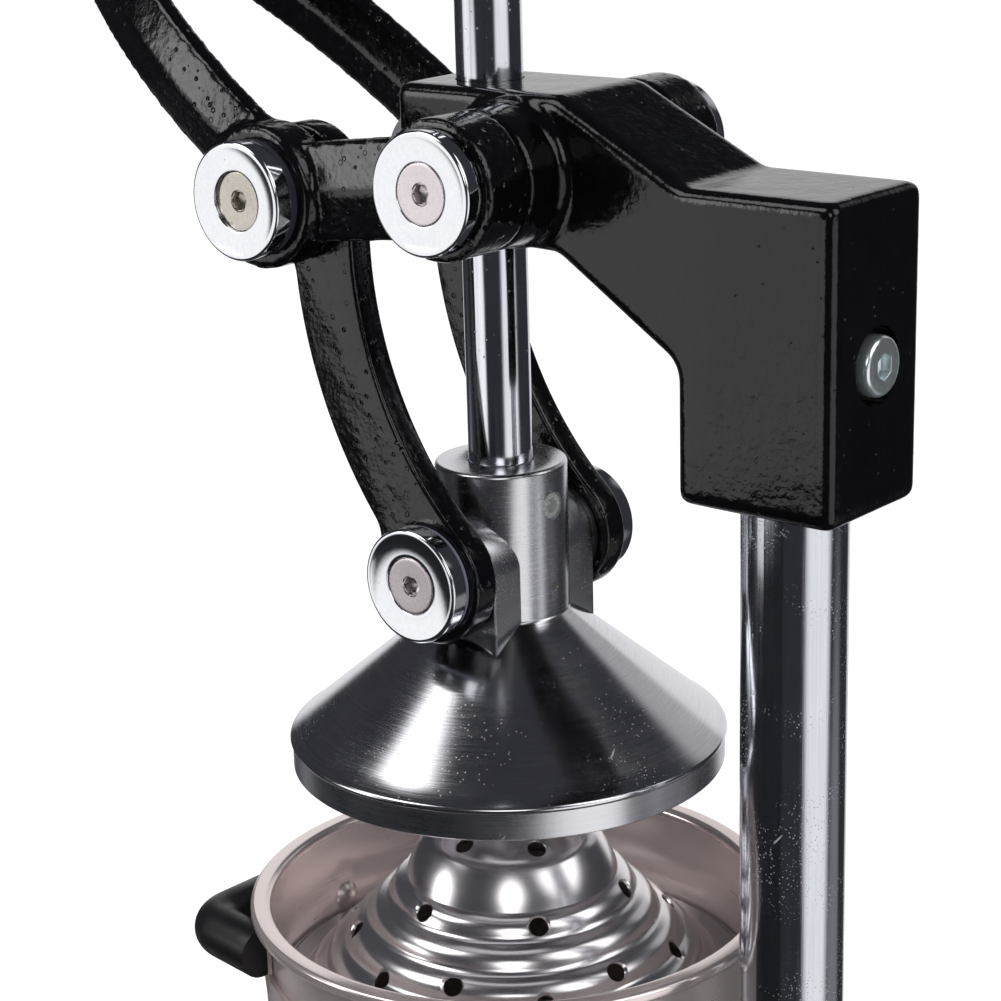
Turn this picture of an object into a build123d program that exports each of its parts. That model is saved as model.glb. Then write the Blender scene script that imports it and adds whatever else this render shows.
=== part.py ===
from build123d import *
from math import asin, atan2, cos, degrees, hypot, radians, sin, sqrt
import os

# Manual lever citrus press, millimetres.
# Z is up and the ground is z = 0. The lever reaches towards -Y, the column stands at +Y, and the
# pivots lie along X. Shapes are built round the press axis (x = 0, y = 0), and place() then moves
# them so that the origin is the middle of the footprint.

# ---- levels and axes ------------------------------------------------------------------------
FOOT_HEIGHT = 8.0            # rubber foot below the base skirt
BASE_HEIGHT = 22.0           # base casting, skirt edge to bowl seat
BOWL_HEIGHT = 82.0           # bowl, seat to rim
PIVOT_ABOVE_RIM = 214.5      # head pivot C above the bowl rim
PIVOT_Y = 22.0               # head pivot C behind the press axis
COLUMN_Y = 97.5              # column axis behind the press axis

SEAT_Z = FOOT_HEIGHT + BASE_HEIGHT
RIM_Z = SEAT_Z + BOWL_HEIGHT
PIVOT_Z = RIM_Z + PIVOT_ABOVE_RIM

# ---- crank linkage --------------------------------------------------------------------------
CRANK_LENGTH = 66.2          # C to crank pivot A
CRANK_DROP_DEG = 6.8         # A below the level of C at rest
LINK_LENGTH = 112.0          # A to press pivot B
LINK_EYE_SHIFT = 3.2         # open pivot: eye behind the crank screw's axis at rest
LINK_EYE_WANDER = 3.65       # open pivot: most the eye leaves the crank screw's axis

CRANK_Y = PIVOT_Y - CRANK_LENGTH * cos(radians(CRANK_DROP_DEG))
CRANK_Z = PIVOT_Z - CRANK_LENGTH * sin(radians(CRANK_DROP_DEG))
PRESS_PIVOT_Z = CRANK_Z - sqrt(LINK_LENGTH ** 2 - CRANK_Y ** 2)

# ---- clearances -----------------------------------------------------------------------------
RUNNING_FIT = 0.05           # radial, turning or sliding pair
FIXED_FIT = 0.05             # radial, pieces fastened to each other
SIDE_GAP = 0.3               # between faces that move past each other
SCREW_CLEARANCE = 0.25       # radial, screw through a plain hole

# ---- pivot hardware (M8 countersunk socket screws) ------------------------------------------
SCREW_D = 8.0
SCREW_HEAD_D = 16.0
SCREW_HEAD_H = 3.8
SCREW_HEAD_RIM = 0.4         # straight rim above the cone
SCREW_SOCKET_AF = 5.0
SCREW_SOCKET_DEPTH = 2.6
CAP_D = 32.0
CAP_THICKNESS = 5.5
CAP_EDGE = 0.6
CAP_DISH = 0.5               # the face slopes in towards the screw
CRANK_SCREW_SINK = 1.6       # crank screws sit deeper in their cups
STUD_D = 16.0                # shouldered stud the lever eye turns on
STUD_DEPTH = 12.0            # pressed into the head boss
STUD_END_WALL = 3.0
SCREW_TIP_GAP = 1.0
BUSH_D = 13.0                # sleeve the link turns on at the press
NYLON_D = 31.0
PRESS_NYLON_THICKNESS = 1.2
PRESS_THRUST_THICKNESS = 2.0
CRANK_NYLON_THICKNESS = 2.5
THRUST_D = 30.0
THRUST_THICKNESS = 1.0
NUT_AF = 13.0
NUT_HEIGHT = 6.5

# ---- link -----------------------------------------------------------------------------------
LINK_THICKNESS = 8.5
LINK_WIDTH = 22.0
LINK_EYE_D = 36.6
LINK_HOLLOW_RADIUS = 104.8   # concave edge, tangent to both eyes
LINK_EDGE = 1.2

# ---- press head -----------------------------------------------------------------------------
ROD_D = 18.0
ROD_TOP_ABOVE_HEAD = 70.0
ROD_IN_HUB = 42.0
ROD_CHAMFER = 1.5
HUB_D = 37.0
HUB_TOP_ABOVE_PIVOT = 27.0
HUB_FOOT_BELOW_PIVOT = 16.3
CONE_D = 124.0
CONE_DROP = 35.8             # hub foot to rim band
RIM_BAND = 9.2
RIM_WIDTH = 4.5
CONE_WALL = 6.0              # measured along Z
HOLLOW_ROOF_R = 20.0
EAR_FACE_X = 22.0
EAR_HALF_WIDTH = 15.0
HUB_SET_SCREW_D = 8.0
HUB_SET_SCREW_BELOW_TOP = 10.8
PRESS_PIN_D = 3.0
PRESS_PIN_BELOW_TOP = 34.0

# ---- head casting ---------------------------------------------------------------------------
FRONT_BLOCK_HALF = 18.4
REAR_BLOCK_HALF = 20.3
HEAD_FRONT_Y = -17.8
HEAD_TOP_ABOVE_PIVOT = 21.0
HEAD_FOOT_BELOW_PIVOT = 18.5
NECK_TOP_Y = 37.0
NECK_FOOT_Y = 36.0
REAR_BLOCK_FRONT_Y = 74.5
REAR_BLOCK_BACK_Y = 121.0
REAR_BLOCK_TOP_ABOVE_PIVOT = 1.2
REAR_BLOCK_FOOT_BELOW_PIVOT = 79.6
NECK_JOIN_BELOW_PIVOT = 43.5
NECK_CREASE = 8.0
FLARE_START_Y = 7.0
FLARE_END_Y = 85.0
HEAD_EDGE = 3.0
BOSS_D = 36.6
BOSS_FACE_X = 32.6
BOSS_FLARE = 2.4             # root radius where a boss leaves the block
GUIDE_BUSH_D = 22.0
GUIDE_LIP = 7.5
COLUMN_IN_HEAD = 66.0
CLAMP_SCREW_BELOW_PIVOT = 41.3
CLAMP_SCREW_D = 10.0
CLAMP_HEAD_D = 15.5
CLAMP_HEAD_H = 5.0
CLAMP_RECESS_D = 20.0
CLAMP_RECESS_DEPTH = 3.0
CLAMP_SOCKET_AF = 6.0

# ---- lever casting --------------------------------------------------------------------------
EYE_D = 36.6
EYE_LENGTH = 15.8
CRANK_BOSS_D = 39.0
CRANK_BOSS_LENGTH = 12.2
BAR_WIDTH = 26.5
BAR_RIDGE = 10.0             # thickness along the middle ridge
BAR_EDGE = 5.0               # thickness at the edges
ARM_WIDTH = 23.0
ARM_RISE_DEG = 35.0
ARM_OFFSET = 4.0             # arm centreline above the crank pivot
ARM_CURVE_RADIUS = 220.0     # inward bend of each arm
ARM_STRAIGHT = 18.0          # straight start of each arm
ARM_INTO_SHANK = 5.0         # how far an arm runs on past the shank's start
SHANK_IN_ARMS = 18.0         # root of the shank between the arms
ARM_RUN = 142.0              # crank pivot to the joined shank, along the rise
SHANK_D = 20.0
SHANK_LENGTH = 150.0
GRIP_D = 31.0
GRIP_LENGTH = 118.0
GRIP_WALL_END = 7.0

# ---- column and base ------------------------------------------------------------------------
COLUMN_D = 28.0
COLUMN_BOLT_D = 12.0
COLUMN_BOLT_DEPTH = 28.0
BOLT_HEAD_AF = 19.0
BOLT_HEAD_H = 7.0
BOLT_WASHER_D = 26.0
BOLT_WASHER_T = 2.0
SOCKET_D = 48.0              # base boss round the column
SOCKET_HEIGHT = 34.0         # above the plate
SOCKET_FLOOR = 5.0
PLATE_THICKNESS = 6.0
SKIRT_WALL = 6.0
SEAT_RISE = 1.5
SEAT_R = 66.0
BASE_FRONT_R = 96.0
BASE_TAIL_HALF = 52.0
BASE_TAIL_Y = 138.0
BASE_CORNER = 20.0
RIB_WALL = 5.0
RIB_LIFT = 3.0               # ribs stop above the skirt's edge
REAR_RIB_Y = 62.0
FOOT_D = 24.0
FOOT_TAPER = 2.0             # radius lost towards the ground
FOOT_WEB_Z = 4.0             # seat of the screw head inside the foot
FOOT_BOSS_D = 22.0
FOOT_SCREW_D = 5.0
FOOT_SCREW_HEAD_D = 9.5
FOOT_SCREW_HEAD_H = 2.5
FOOT_SCREW_REACH = 9.0
FRONT_FOOT_R = 76.0
FRONT_FOOT_DEG = 48.0
REAR_FOOT_X = 34.0
REAR_FOOT_Y = 120.0

# ---- bowl, strainer and bowl handle ---------------------------------------------------------
SHEET = 1.2
BOWL_R = 72.0
BOWL_RIM_WIDTH = 5.0         # flat rim, outwards from the wall
BOWL_RIM_ROLL = 2.6
BOWL_RIM_EDGE = 0.7
BOWL_LEDGE_BELOW_RIM = 29.5
BOWL_LEDGE_WIDTH = 4.0       # step in the wall that carries the strainer
BOWL_CORNER = 12.0
STRAINER_SHEET = 1.0
STRAINER_CLEARANCE = 1.0     # radial, flange in the bowl's wall
STRAINER_CROWN_R = 42.0      # spherical crown
STRAINER_CROWN_EDGE_R = 25.0
STRAINER_FLARE_WIDTH = 6.0   # steep skirt below the crown
STRAINER_FLARE_DROP = 12.0
STRAINER_FLARE_BULGE = 0.5
STRAINER_BANDS = 5           # rounded steps, each with a groove at its foot
STRAINER_BAND_WIDTH = 6.5
STRAINER_BAND_DROP = 6.9
STRAINER_BULGE = 0.9
STRAINER_GROOVE_SHARE = 0.3
STRAINER_GROOVE_DEPTH = 0.35
STRAINER_HOLE_D = 5.2
STRAINER_HOLES = 6           # in each row
STRAINER_PUNCH = 8.0         # length of the tool that cuts a hole
CROWN_HOLE_ROWS = ((21.0, 0.0), (14.0, 38.0))                        # radius, first hole's turn
STEP_HOLE_ROWS = ((34.3, -8.0), (46.5, 18.0), (49.6, -10.0))
GRIP_MID_DEG = -50.0         # bowl handle's direction, from +X towards +Y
GRIP_SPREAD_DEG = 12.0
RIVET_SPREAD_DEG = 42.0
BOWL_GRIP_D = 15.0
BOWL_GRIP_REACH = 18.0       # corner of the grip's centreline beyond the wall
BOWL_GRIP_BEND = 9.0         # centreline's radius at that corner
BOWL_GRIP_END_REACH = 5.0    # ends of the centreline beyond the wall
BOWL_GRIP_BELOW_RIM = 10.5
STRAP_THICKNESS = 1.6
STRAP_WIDTH = 12.0
STRAP_END_DEG = 12.0         # strap past the two rivets, together
LUG_THICKNESS = 3.0
LUG_REACH = 4.0              # lug past the end of the grip's centreline
RIVET_BELOW_GRIP = 14.0
RIVET_D = 5.0
RIVET_HEAD_D = 9.0
RIVET_HEAD_H = 2.0
RIVET_SEAT_GAP = 0.15         # the flat heads bear on a curved wall


# ---- places along X, from the outside in ----------------------------------------------------
BOSS_GAP_X = BOSS_FACE_X + SIDE_GAP
EYE_FACE_X = BOSS_GAP_X + EYE_LENGTH
CAP_SEAT_X = EYE_FACE_X + SIDE_GAP                     # head pivot cap
CRANK_FACE_X = CAP_SEAT_X - CRANK_NYLON_THICKNESS      # outer face of the crank boss
CRANK_INNER_X = CRANK_FACE_X - CRANK_BOSS_LENGTH
BAR_MID_X = CRANK_INNER_X + BAR_RIDGE / 2
PRESS_THRUST_X = EAR_FACE_X + PRESS_THRUST_THICKNESS
LINK_INNER_X = PRESS_THRUST_X + SIDE_GAP
LINK_OUTER_X = LINK_INNER_X + LINK_THICKNESS
PRESS_NYLON_X = LINK_OUTER_X + SIDE_GAP
PRESS_CAP_X = PRESS_NYLON_X + PRESS_NYLON_THICKNESS

HUB_TOP_Z = PRESS_PIVOT_Z + HUB_TOP_ABOVE_PIVOT
HUB_FOOT_Z = PRESS_PIVOT_Z - HUB_FOOT_BELOW_PIVOT
BAND_TOP_Z = HUB_FOOT_Z - CONE_DROP
PRESS_FOOT_Z = BAND_TOP_Z - RIM_BAND
HEAD_TOP_Z = PIVOT_Z + HEAD_TOP_ABOVE_PIVOT
HEAD_FOOT_Z = PIVOT_Z - HEAD_FOOT_BELOW_PIVOT
REAR_BLOCK_FOOT_Z = PIVOT_Z - REAR_BLOCK_FOOT_BELOW_PIVOT
COLUMN_TOP_Z = REAR_BLOCK_FOOT_Z + COLUMN_IN_HEAD
COLUMN_FOOT_Z = FOOT_HEIGHT + SOCKET_FLOOR + BOLT_HEAD_H + BOLT_WASHER_T
CLAMP_Z = PIVOT_Z - CLAMP_SCREW_BELOW_PIVOT
PLATE_TOP_Z = SEAT_Z - SEAT_RISE
LEDGE_Z = RIM_Z - BOWL_LEDGE_BELOW_RIM
BOWL_RIM_R = BOWL_R + BOWL_RIM_WIDTH
BOWL_FOOT_R = BOWL_R - BOWL_LEDGE_WIDTH
STRAINER_FLANGE_R = BOWL_R - SHEET - STRAINER_CLEARANCE
RIVET_Z = RIM_Z - BOWL_GRIP_BELOW_RIM - RIVET_BELOW_GRIP
BOWL_GRIP_Z = RIM_Z - BOWL_GRIP_BELOW_RIM

# The lever's front-most point and the base's rear edge set the footprint's middle.
RISE = radians(ARM_RISE_DEG)
SHANK_START_Y = CRANK_Y - ARM_RUN * cos(RISE) + ARM_OFFSET * sin(RISE)
SHANK_START_Z = CRANK_Z + ARM_RUN * sin(RISE) + ARM_OFFSET * cos(RISE)
GRIP_END_R = GRIP_D / 2
GRIP_TIP_RUN = SHANK_LENGTH + GRIP_WALL_END - GRIP_END_R     # centre of the grip's round end
FRONT_Y = SHANK_START_Y - GRIP_TIP_RUN * cos(RISE) - GRIP_END_R
FOOTPRINT_MIDDLE_Y = (FRONT_Y + BASE_TAIL_Y) / 2


# ---- small helpers --------------------------------------------------------------------------
def rod_along_x(radius, x_from, x_to, y, z):
    """Cylinder along X between two x values."""
    length = abs(x_to - x_from)
    return Pos((x_from + x_to) / 2, y, z) * Rot(0, 90, 0) * Cylinder(radius, length)


def rod_along_z(radius, z_from, z_to, x=0.0, y=0.0):
    """Cylinder along Z between two heights."""
    return Pos(x, y, (z_from + z_to) / 2) * Cylinder(radius, abs(z_to - z_from))


def revolved(points):
    """Solid of revolution round Z from a closed outline of (radius, z) points."""
    face = make_face(Plane.XZ * Polyline(*points, close=True))
    return revolve(face, Axis.Z)


def prism_x(points, x_from, x_to):
    """Prism along X from a closed outline of (y, z) points."""
    face = make_face(Plane.YZ * Polyline(*points, close=True))
    return Pos(x_from, 0, 0) * extrude(face, x_to - x_from, dir=(1, 0, 0))


def group(parts):
    """Separate solids kept together as one node."""
    return Compound([solid for part in parts for solid in part.solids()])


def both_sides(part):
    """The part and its mirror image across x = 0, as a group."""
    return group([part, mirror(part, Plane.YZ)])


def dome_arc(radius, edge_z, top_z):
    """Arc of a shallow dome, from its rim at edge_z to the axis at top_z, in (radius, z)."""
    rise = top_z - edge_z
    ball = (radius ** 2 + rise ** 2) / (2 * rise)
    half = asin(radius / abs(ball)) / 2
    middle = (abs(ball) * sin(half), top_z - ball * (1 - cos(half)))
    return ThreePointArc((radius, edge_z), middle, (0, top_z))


def hex_socket(across_flats, depth):
    """Hexagonal pocket cutter whose mouth is at z = 0 and whose floor is at -depth."""
    return extrude(RegularPolygon(across_flats / sqrt(3), 6), -depth)


def place(shape):
    """Move a shape from the press axis to the footprint's middle."""
    moved = [Pos(0, -FOOTPRINT_MIDDLE_Y, 0) * solid for solid in shape.solids()]
    return moved[0] if len(moved) == 1 else Compound(moved)


def countersunk_screw(length):
    """Countersunk socket screw: head face at z = 0, shank down to -length."""
    head_r, shank_r = SCREW_HEAD_D / 2, SCREW_D / 2
    screw = revolved([(0, 0), (head_r, 0), (head_r, -SCREW_HEAD_RIM), (shank_r, -SCREW_HEAD_H),
                      (shank_r, -length + 1), (shank_r - 1, -length), (0, -length)])
    return screw - hex_socket(SCREW_SOCKET_AF, SCREW_SOCKET_DEPTH)


def cup_washer(sink):
    """Thick dished washer: face at z = 0, body down to -CAP_THICKNESS, cone seat for the screw."""
    outer, bore, head_r = CAP_D / 2, SCREW_D / 2 + SCREW_CLEARANCE, SCREW_HEAD_D / 2 + FIXED_FIT
    slope = (SCREW_HEAD_H - SCREW_HEAD_RIM) / (SCREW_HEAD_D - SCREW_D) * 2
    seat_z = -sink - SCREW_HEAD_RIM
    return revolved([(head_r, -CAP_DISH), (outer - CAP_EDGE, 0), (outer, -CAP_EDGE),
                     (outer, -CAP_THICKNESS), (bore, -CAP_THICKNESS),
                     (bore, seat_z - (head_r - bore) * slope), (head_r, seat_z)])


def on_x_axis(part, x, y, z):
    """Turn a part whose axis is Z, face up, so that its face looks along +X at x."""
    return Pos(x, y, z) * Rot(0, 90, 0) * part


# ---- base -----------------------------------------------------------------------------------
def base_outline(inset):
    """Base plan: a round front under the bowl that runs into a straight tail at the column."""
    front = Circle(BASE_FRONT_R - inset)
    tail_length = BASE_TAIL_Y - inset
    tail = Pos(0, tail_length / 2) * Rectangle(2 * (BASE_TAIL_HALF - inset), tail_length)
    plan = front + tail
    corners = plan.vertices().sort_by(Axis.Y)[-2:]
    return fillet(corners, BASE_CORNER - inset / 2)


def foot_places():
    """Centres of the four feet."""
    angle = radians(FRONT_FOOT_DEG)
    front_x, front_y = FRONT_FOOT_R * sin(angle), -FRONT_FOOT_R * cos(angle)
    return [(front_x, front_y), (-front_x, front_y), (REAR_FOOT_X, REAR_FOOT_Y),
            (-REAR_FOOT_X, REAR_FOOT_Y)]


def make_base():
    """Hollow cast base with a bowl seat, a column socket, foot bosses and ribs below."""
    body = Pos(0, 0, FOOT_HEIGHT) * extrude(base_outline(0), PLATE_TOP_Z - FOOT_HEIGHT)
    body = fillet(body.faces().sort_by(Axis.Z)[-1].edges(), 4)
    cavity = Pos(0, 0, FOOT_HEIGHT) * extrude(base_outline(SKIRT_WALL),
                                              PLATE_TOP_Z - PLATE_THICKNESS - FOOT_HEIGHT)
    body -= cavity
    rib_foot, rib_top = FOOT_HEIGHT + RIB_LIFT, PLATE_TOP_Z - PLATE_THICKNESS / 2
    long_rib = Pos(0, (BASE_TAIL_Y - BASE_FRONT_R) / 2, (rib_foot + rib_top) / 2) * Box(
        RIB_WALL, BASE_TAIL_Y + BASE_FRONT_R, rib_top - rib_foot)
    cross_rib = Pos(0, 0, (rib_foot + rib_top) / 2) * Box(
        2 * BASE_FRONT_R, RIB_WALL, rib_top - rib_foot)
    plan = Pos(0, 0, rib_foot) * extrude(base_outline(SKIRT_WALL / 2), rib_top - rib_foot)
    body += (long_rib + cross_rib + Pos(0, REAR_RIB_Y, 0) * cross_rib) & plan
    body += rod_along_z(SEAT_R, PLATE_TOP_Z, SEAT_Z)
    for x, y in foot_places():
        body += rod_along_z(FOOT_BOSS_D / 2, FOOT_HEIGHT, PLATE_TOP_Z - 1, x, y)
    socket_top = PLATE_TOP_Z + SOCKET_HEIGHT
    body += rod_along_z(SOCKET_D / 2, COLUMN_FOOT_Z - SOCKET_FLOOR, socket_top, 0, COLUMN_Y)
    body -= rod_along_z(COLUMN_D / 2 + FIXED_FIT, COLUMN_FOOT_Z, socket_top + 1, 0, COLUMN_Y)
    body -= rod_along_z(COLUMN_BOLT_D / 2 + SCREW_CLEARANCE, FOOT_HEIGHT, COLUMN_FOOT_Z, 0, COLUMN_Y)
    body -= rod_along_z(BOLT_WASHER_D / 2 + 1, FOOT_HEIGHT, COLUMN_FOOT_Z - SOCKET_FLOOR, 0, COLUMN_Y)
    for x, y in foot_places():
        body -= rod_along_z(FOOT_SCREW_D / 2 + FIXED_FIT, FOOT_HEIGHT, FOOT_HEIGHT + FOOT_SCREW_REACH,
                            x, y)
    top_edge = body.edges().filter_by(GeomType.CIRCLE).filter_by(
        lambda e: abs(e.center().Z - socket_top) < 0.01 and abs(e.radius - SOCKET_D / 2) < 0.1)
    return chamfer(top_edge, 2)


def make_feet():
    """Four rubber feet with a recess for the screw head."""
    feet = []
    for x, y in foot_places():
        radius = FOOT_D / 2
        recess = FOOT_SCREW_HEAD_D / 2 + 0.5
        foot = revolved([(FOOT_SCREW_D / 2 + FIXED_FIT, FOOT_HEIGHT), (radius, FOOT_HEIGHT),
                         (radius, FOOT_WEB_Z), (radius - FOOT_TAPER, 0), (recess, 0),
                         (recess, FOOT_WEB_Z), (FOOT_SCREW_D / 2 + FIXED_FIT, FOOT_WEB_Z)])
        feet.append(Pos(x, y, 0) * foot)
    return group(feet)


def make_foot_screws():
    """Pan-head screws that hold the feet."""
    screws = []
    for x, y in foot_places():
        top = FOOT_HEIGHT + FOOT_SCREW_REACH - 1
        head_top = FOOT_WEB_Z
        head_foot = head_top - FOOT_SCREW_HEAD_H
        screw = revolved([(0, head_foot), (FOOT_SCREW_HEAD_D / 2, head_foot),
                          (FOOT_SCREW_HEAD_D / 2, head_top), (FOOT_SCREW_D / 2, head_top),
                          (FOOT_SCREW_D / 2, top), (0, top)])
        screws.append(Pos(x, y, 0) * screw)
    return group(screws)


def make_column():
    """Plated column with a tapped foot and a drilled seat for the clamp screw."""
    column = rod_along_z(COLUMN_D / 2, COLUMN_FOOT_Z, COLUMN_TOP_Z - 0.5, 0, COLUMN_Y)
    column = chamfer(column.edges().sort_by(Axis.Z)[-1], 1.5)
    column -= rod_along_z(COLUMN_BOLT_D / 2, COLUMN_FOOT_Z, COLUMN_FOOT_Z + COLUMN_BOLT_DEPTH,
                          0, COLUMN_Y)
    seat_depth = 8.0
    seat_y = COLUMN_Y + COLUMN_D / 2 - seat_depth / 2
    column -= Pos(0, seat_y, CLAMP_Z) * Rot(90, 0, 0) * Cylinder(CLAMP_SCREW_D / 2, seat_depth)
    return column


def make_column_bolt():
    """Hexagon bolt that draws the column into its socket from below."""
    seat = COLUMN_FOOT_Z - SOCKET_FLOOR - BOLT_WASHER_T
    head = Pos(0, COLUMN_Y, seat - BOLT_HEAD_H) * extrude(
        RegularPolygon(BOLT_HEAD_AF / sqrt(3), 6), BOLT_HEAD_H)
    shank = rod_along_z(COLUMN_BOLT_D / 2 - FIXED_FIT, seat, COLUMN_FOOT_Z + COLUMN_BOLT_DEPTH - 3,
                        0, COLUMN_Y)
    return head + shank


def make_column_washer():
    """Plain washer under the column bolt's head."""
    top = COLUMN_FOOT_Z - SOCKET_FLOOR
    washer = rod_along_z(BOLT_WASHER_D / 2, top - BOLT_WASHER_T, top, 0, COLUMN_Y)
    return washer - rod_along_z(COLUMN_BOLT_D / 2 + SCREW_CLEARANCE, top - BOLT_WASHER_T, top,
                                0, COLUMN_Y)


# ---- head -----------------------------------------------------------------------------------
def make_head():
    """Head casting: rear clamp block, sloped neck, front guide block and two pivot bosses."""
    side = [(HEAD_FRONT_Y, HEAD_TOP_Z), (NECK_TOP_Y, HEAD_TOP_Z),
            (REAR_BLOCK_FRONT_Y + 1.5, PIVOT_Z + REAR_BLOCK_TOP_ABOVE_PIVOT),
            (REAR_BLOCK_BACK_Y, PIVOT_Z + REAR_BLOCK_TOP_ABOVE_PIVOT),
            (REAR_BLOCK_BACK_Y, REAR_BLOCK_FOOT_Z), (REAR_BLOCK_FRONT_Y, REAR_BLOCK_FOOT_Z),
            (REAR_BLOCK_FRONT_Y, PIVOT_Z - NECK_JOIN_BELOW_PIVOT),
            (NECK_FOOT_Y, HEAD_FOOT_Z - 1), (HEAD_FRONT_Y, HEAD_FOOT_Z)]
    profile = make_face(Plane.YZ * Polyline(*side, close=True))
    creases = profile.vertices().filter_by(
        lambda v: NECK_FOOT_Y - 1 < v.Y < REAR_BLOCK_FRONT_Y + 2 and v.Z > REAR_BLOCK_FOOT_Z + 5)
    profile = fillet(creases, NECK_CREASE)
    body = Pos(-REAR_BLOCK_HALF, 0, 0) * extrude(profile, 2 * REAR_BLOCK_HALF, dir=(1, 0, 0))
    front, rear, spare = FRONT_BLOCK_HALF, REAR_BLOCK_HALF, 5.0
    half_plan = [(front, HEAD_FRONT_Y - spare), (front, FLARE_START_Y), (rear, FLARE_END_Y),
                 (rear, REAR_BLOCK_BACK_Y + spare)]
    other_half = [(-x, y) for x, y in reversed(half_plan)]
    plan = make_face(Polyline(*half_plan, *other_half, close=True))
    body &= Pos(0, 0, REAR_BLOCK_FOOT_Z - spare) * extrude(
        plan, HEAD_TOP_Z - REAR_BLOCK_FOOT_Z + 2 * spare)
    body = fillet(body.edges().filter_by(lambda e: e.length > 1), HEAD_EDGE)
    flare_x = FRONT_BLOCK_HALF + (REAR_BLOCK_HALF - FRONT_BLOCK_HALF) / 3 + BOSS_FLARE
    boss_r, root_r = BOSS_D / 2, BOSS_D / 2 + BOSS_FLARE
    boss_profile = [
        Line((0, 0), (root_r, 0)), Line((root_r, 0), (root_r, flare_x - BOSS_FLARE)),
        CenterArc((root_r, flare_x), BOSS_FLARE, -90, -90),
        Line((boss_r, flare_x), (boss_r, BOSS_FACE_X)), Line((boss_r, BOSS_FACE_X), (0, BOSS_FACE_X)),
        Line((0, BOSS_FACE_X), (0, 0)),
    ]
    boss = revolve(make_face([Plane.XZ * edge for edge in boss_profile]), Axis.Z)
    stud_hole = rod_along_x(STUD_D / 2 + FIXED_FIT, BOSS_FACE_X - STUD_DEPTH, BOSS_FACE_X + 1,
                            PIVOT_Y, PIVOT_Z)
    body += both_sides(on_x_axis(boss, 0, PIVOT_Y, PIVOT_Z))
    body -= both_sides(stud_hole)
    body -= rod_along_z(GUIDE_BUSH_D / 2 + FIXED_FIT, HEAD_FOOT_Z - 5, HEAD_TOP_Z - GUIDE_LIP)
    body -= rod_along_z(ROD_D / 2 + SIDE_GAP, HEAD_TOP_Z - GUIDE_LIP - 1, HEAD_TOP_Z + 1)
    body -= rod_along_z(COLUMN_D / 2 + FIXED_FIT, REAR_BLOCK_FOOT_Z - 1, COLUMN_TOP_Z, 0, COLUMN_Y)
    recess_y = REAR_BLOCK_BACK_Y - CLAMP_RECESS_DEPTH / 2
    body -= Pos(0, recess_y, CLAMP_Z) * Rot(90, 0, 0) * Cylinder(CLAMP_RECESS_D / 2,
                                                                 CLAMP_RECESS_DEPTH)
    wall = REAR_BLOCK_BACK_Y - COLUMN_Y
    body -= Pos(0, COLUMN_Y + wall / 2, CLAMP_Z) * Rot(90, 0, 0) * Cylinder(
        CLAMP_SCREW_D / 2 + FIXED_FIT, wall)
    return body


def make_guide_bush():
    """Bronze bush the rod slides in."""
    top = HEAD_TOP_Z - GUIDE_LIP
    bush = rod_along_z(GUIDE_BUSH_D / 2, HEAD_FOOT_Z + 0.5, top)
    return bush - rod_along_z(ROD_D / 2 + RUNNING_FIT, HEAD_FOOT_Z, top)


def make_clamp_screw():
    """Socket screw that clamps the head to the column."""
    seat_y = REAR_BLOCK_BACK_Y - CLAMP_RECESS_DEPTH
    tip_y = COLUMN_Y + COLUMN_D / 2 - 7
    head = Cylinder(CLAMP_HEAD_D / 2, CLAMP_HEAD_H, align=(Align.CENTER, Align.CENTER, Align.MAX))
    head = fillet(head.edges().sort_by(Axis.Z)[-1], 1.2) - hex_socket(CLAMP_SOCKET_AF, 3)
    length = seat_y - tip_y
    shank = Pos(0, 0, -CLAMP_HEAD_H - length / 2) * Cylinder(CLAMP_SCREW_D / 2 - FIXED_FIT, length)
    return Pos(0, seat_y + CLAMP_HEAD_H, CLAMP_Z) * Rot(-90, 0, 0) * (head + shank)


def make_studs():
    """Shouldered studs pressed into the head bosses; the lever's eyes turn on them."""
    foot = BOSS_FACE_X - STUD_DEPTH
    stud = rod_along_x(STUD_D / 2, foot, CAP_SEAT_X, PIVOT_Y, PIVOT_Z)
    stud -= rod_along_x(SCREW_D / 2 + FIXED_FIT, foot + STUD_END_WALL, CAP_SEAT_X + 1,
                        PIVOT_Y, PIVOT_Z)
    return both_sides(stud)


def make_head_caps():
    """Cup washers that keep the lever on its studs."""
    return both_sides(on_x_axis(cup_washer(CAP_DISH), CAP_SEAT_X + CAP_THICKNESS, PIVOT_Y, PIVOT_Z))


def make_head_screws():
    """Screws of the head pivots."""
    head_face = CAP_SEAT_X + CAP_THICKNESS - CAP_DISH
    length = head_face - (BOSS_FACE_X - STUD_DEPTH + STUD_END_WALL) - SCREW_TIP_GAP
    return both_sides(on_x_axis(countersunk_screw(length), head_face, PIVOT_Y, PIVOT_Z))


# ---- lever ----------------------------------------------------------------------------------
def ridged_section(width):
    """Hexagonal bar section with a ridge down the middle of each broad face: X thin, Y wide."""
    ridge, edge = BAR_RIDGE / 2, BAR_EDGE / 2
    return make_face(Polyline((ridge, 0), (edge, width / 2), (-edge, width / 2), (-ridge, 0),
                              (-edge, -width / 2), (edge, -width / 2), close=True))


def arm_plane(run):
    """Plane square to the arm's centreline at a distance from the crank pivot along the rise."""
    bend = max(0.0, run - ARM_STRAIGHT)
    x = BAR_MID_X - ARM_CURVE_RADIUS + sqrt(ARM_CURVE_RADIUS ** 2 - bend ** 2)
    y = CRANK_Y - run * cos(RISE) + ARM_OFFSET * sin(RISE)
    z = CRANK_Z + run * sin(RISE) + ARM_OFFSET * cos(RISE)
    lean = bend / ARM_CURVE_RADIUS
    along = Vector(-lean, -cos(RISE), sin(RISE)).normalized()
    across = Vector(sqrt(1 - lean ** 2), -lean * cos(RISE), lean * sin(RISE)).normalized()
    across = (across - along * across.dot(along)).normalized()
    return Plane(origin=(x, y, z), x_dir=across, z_dir=along)


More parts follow.
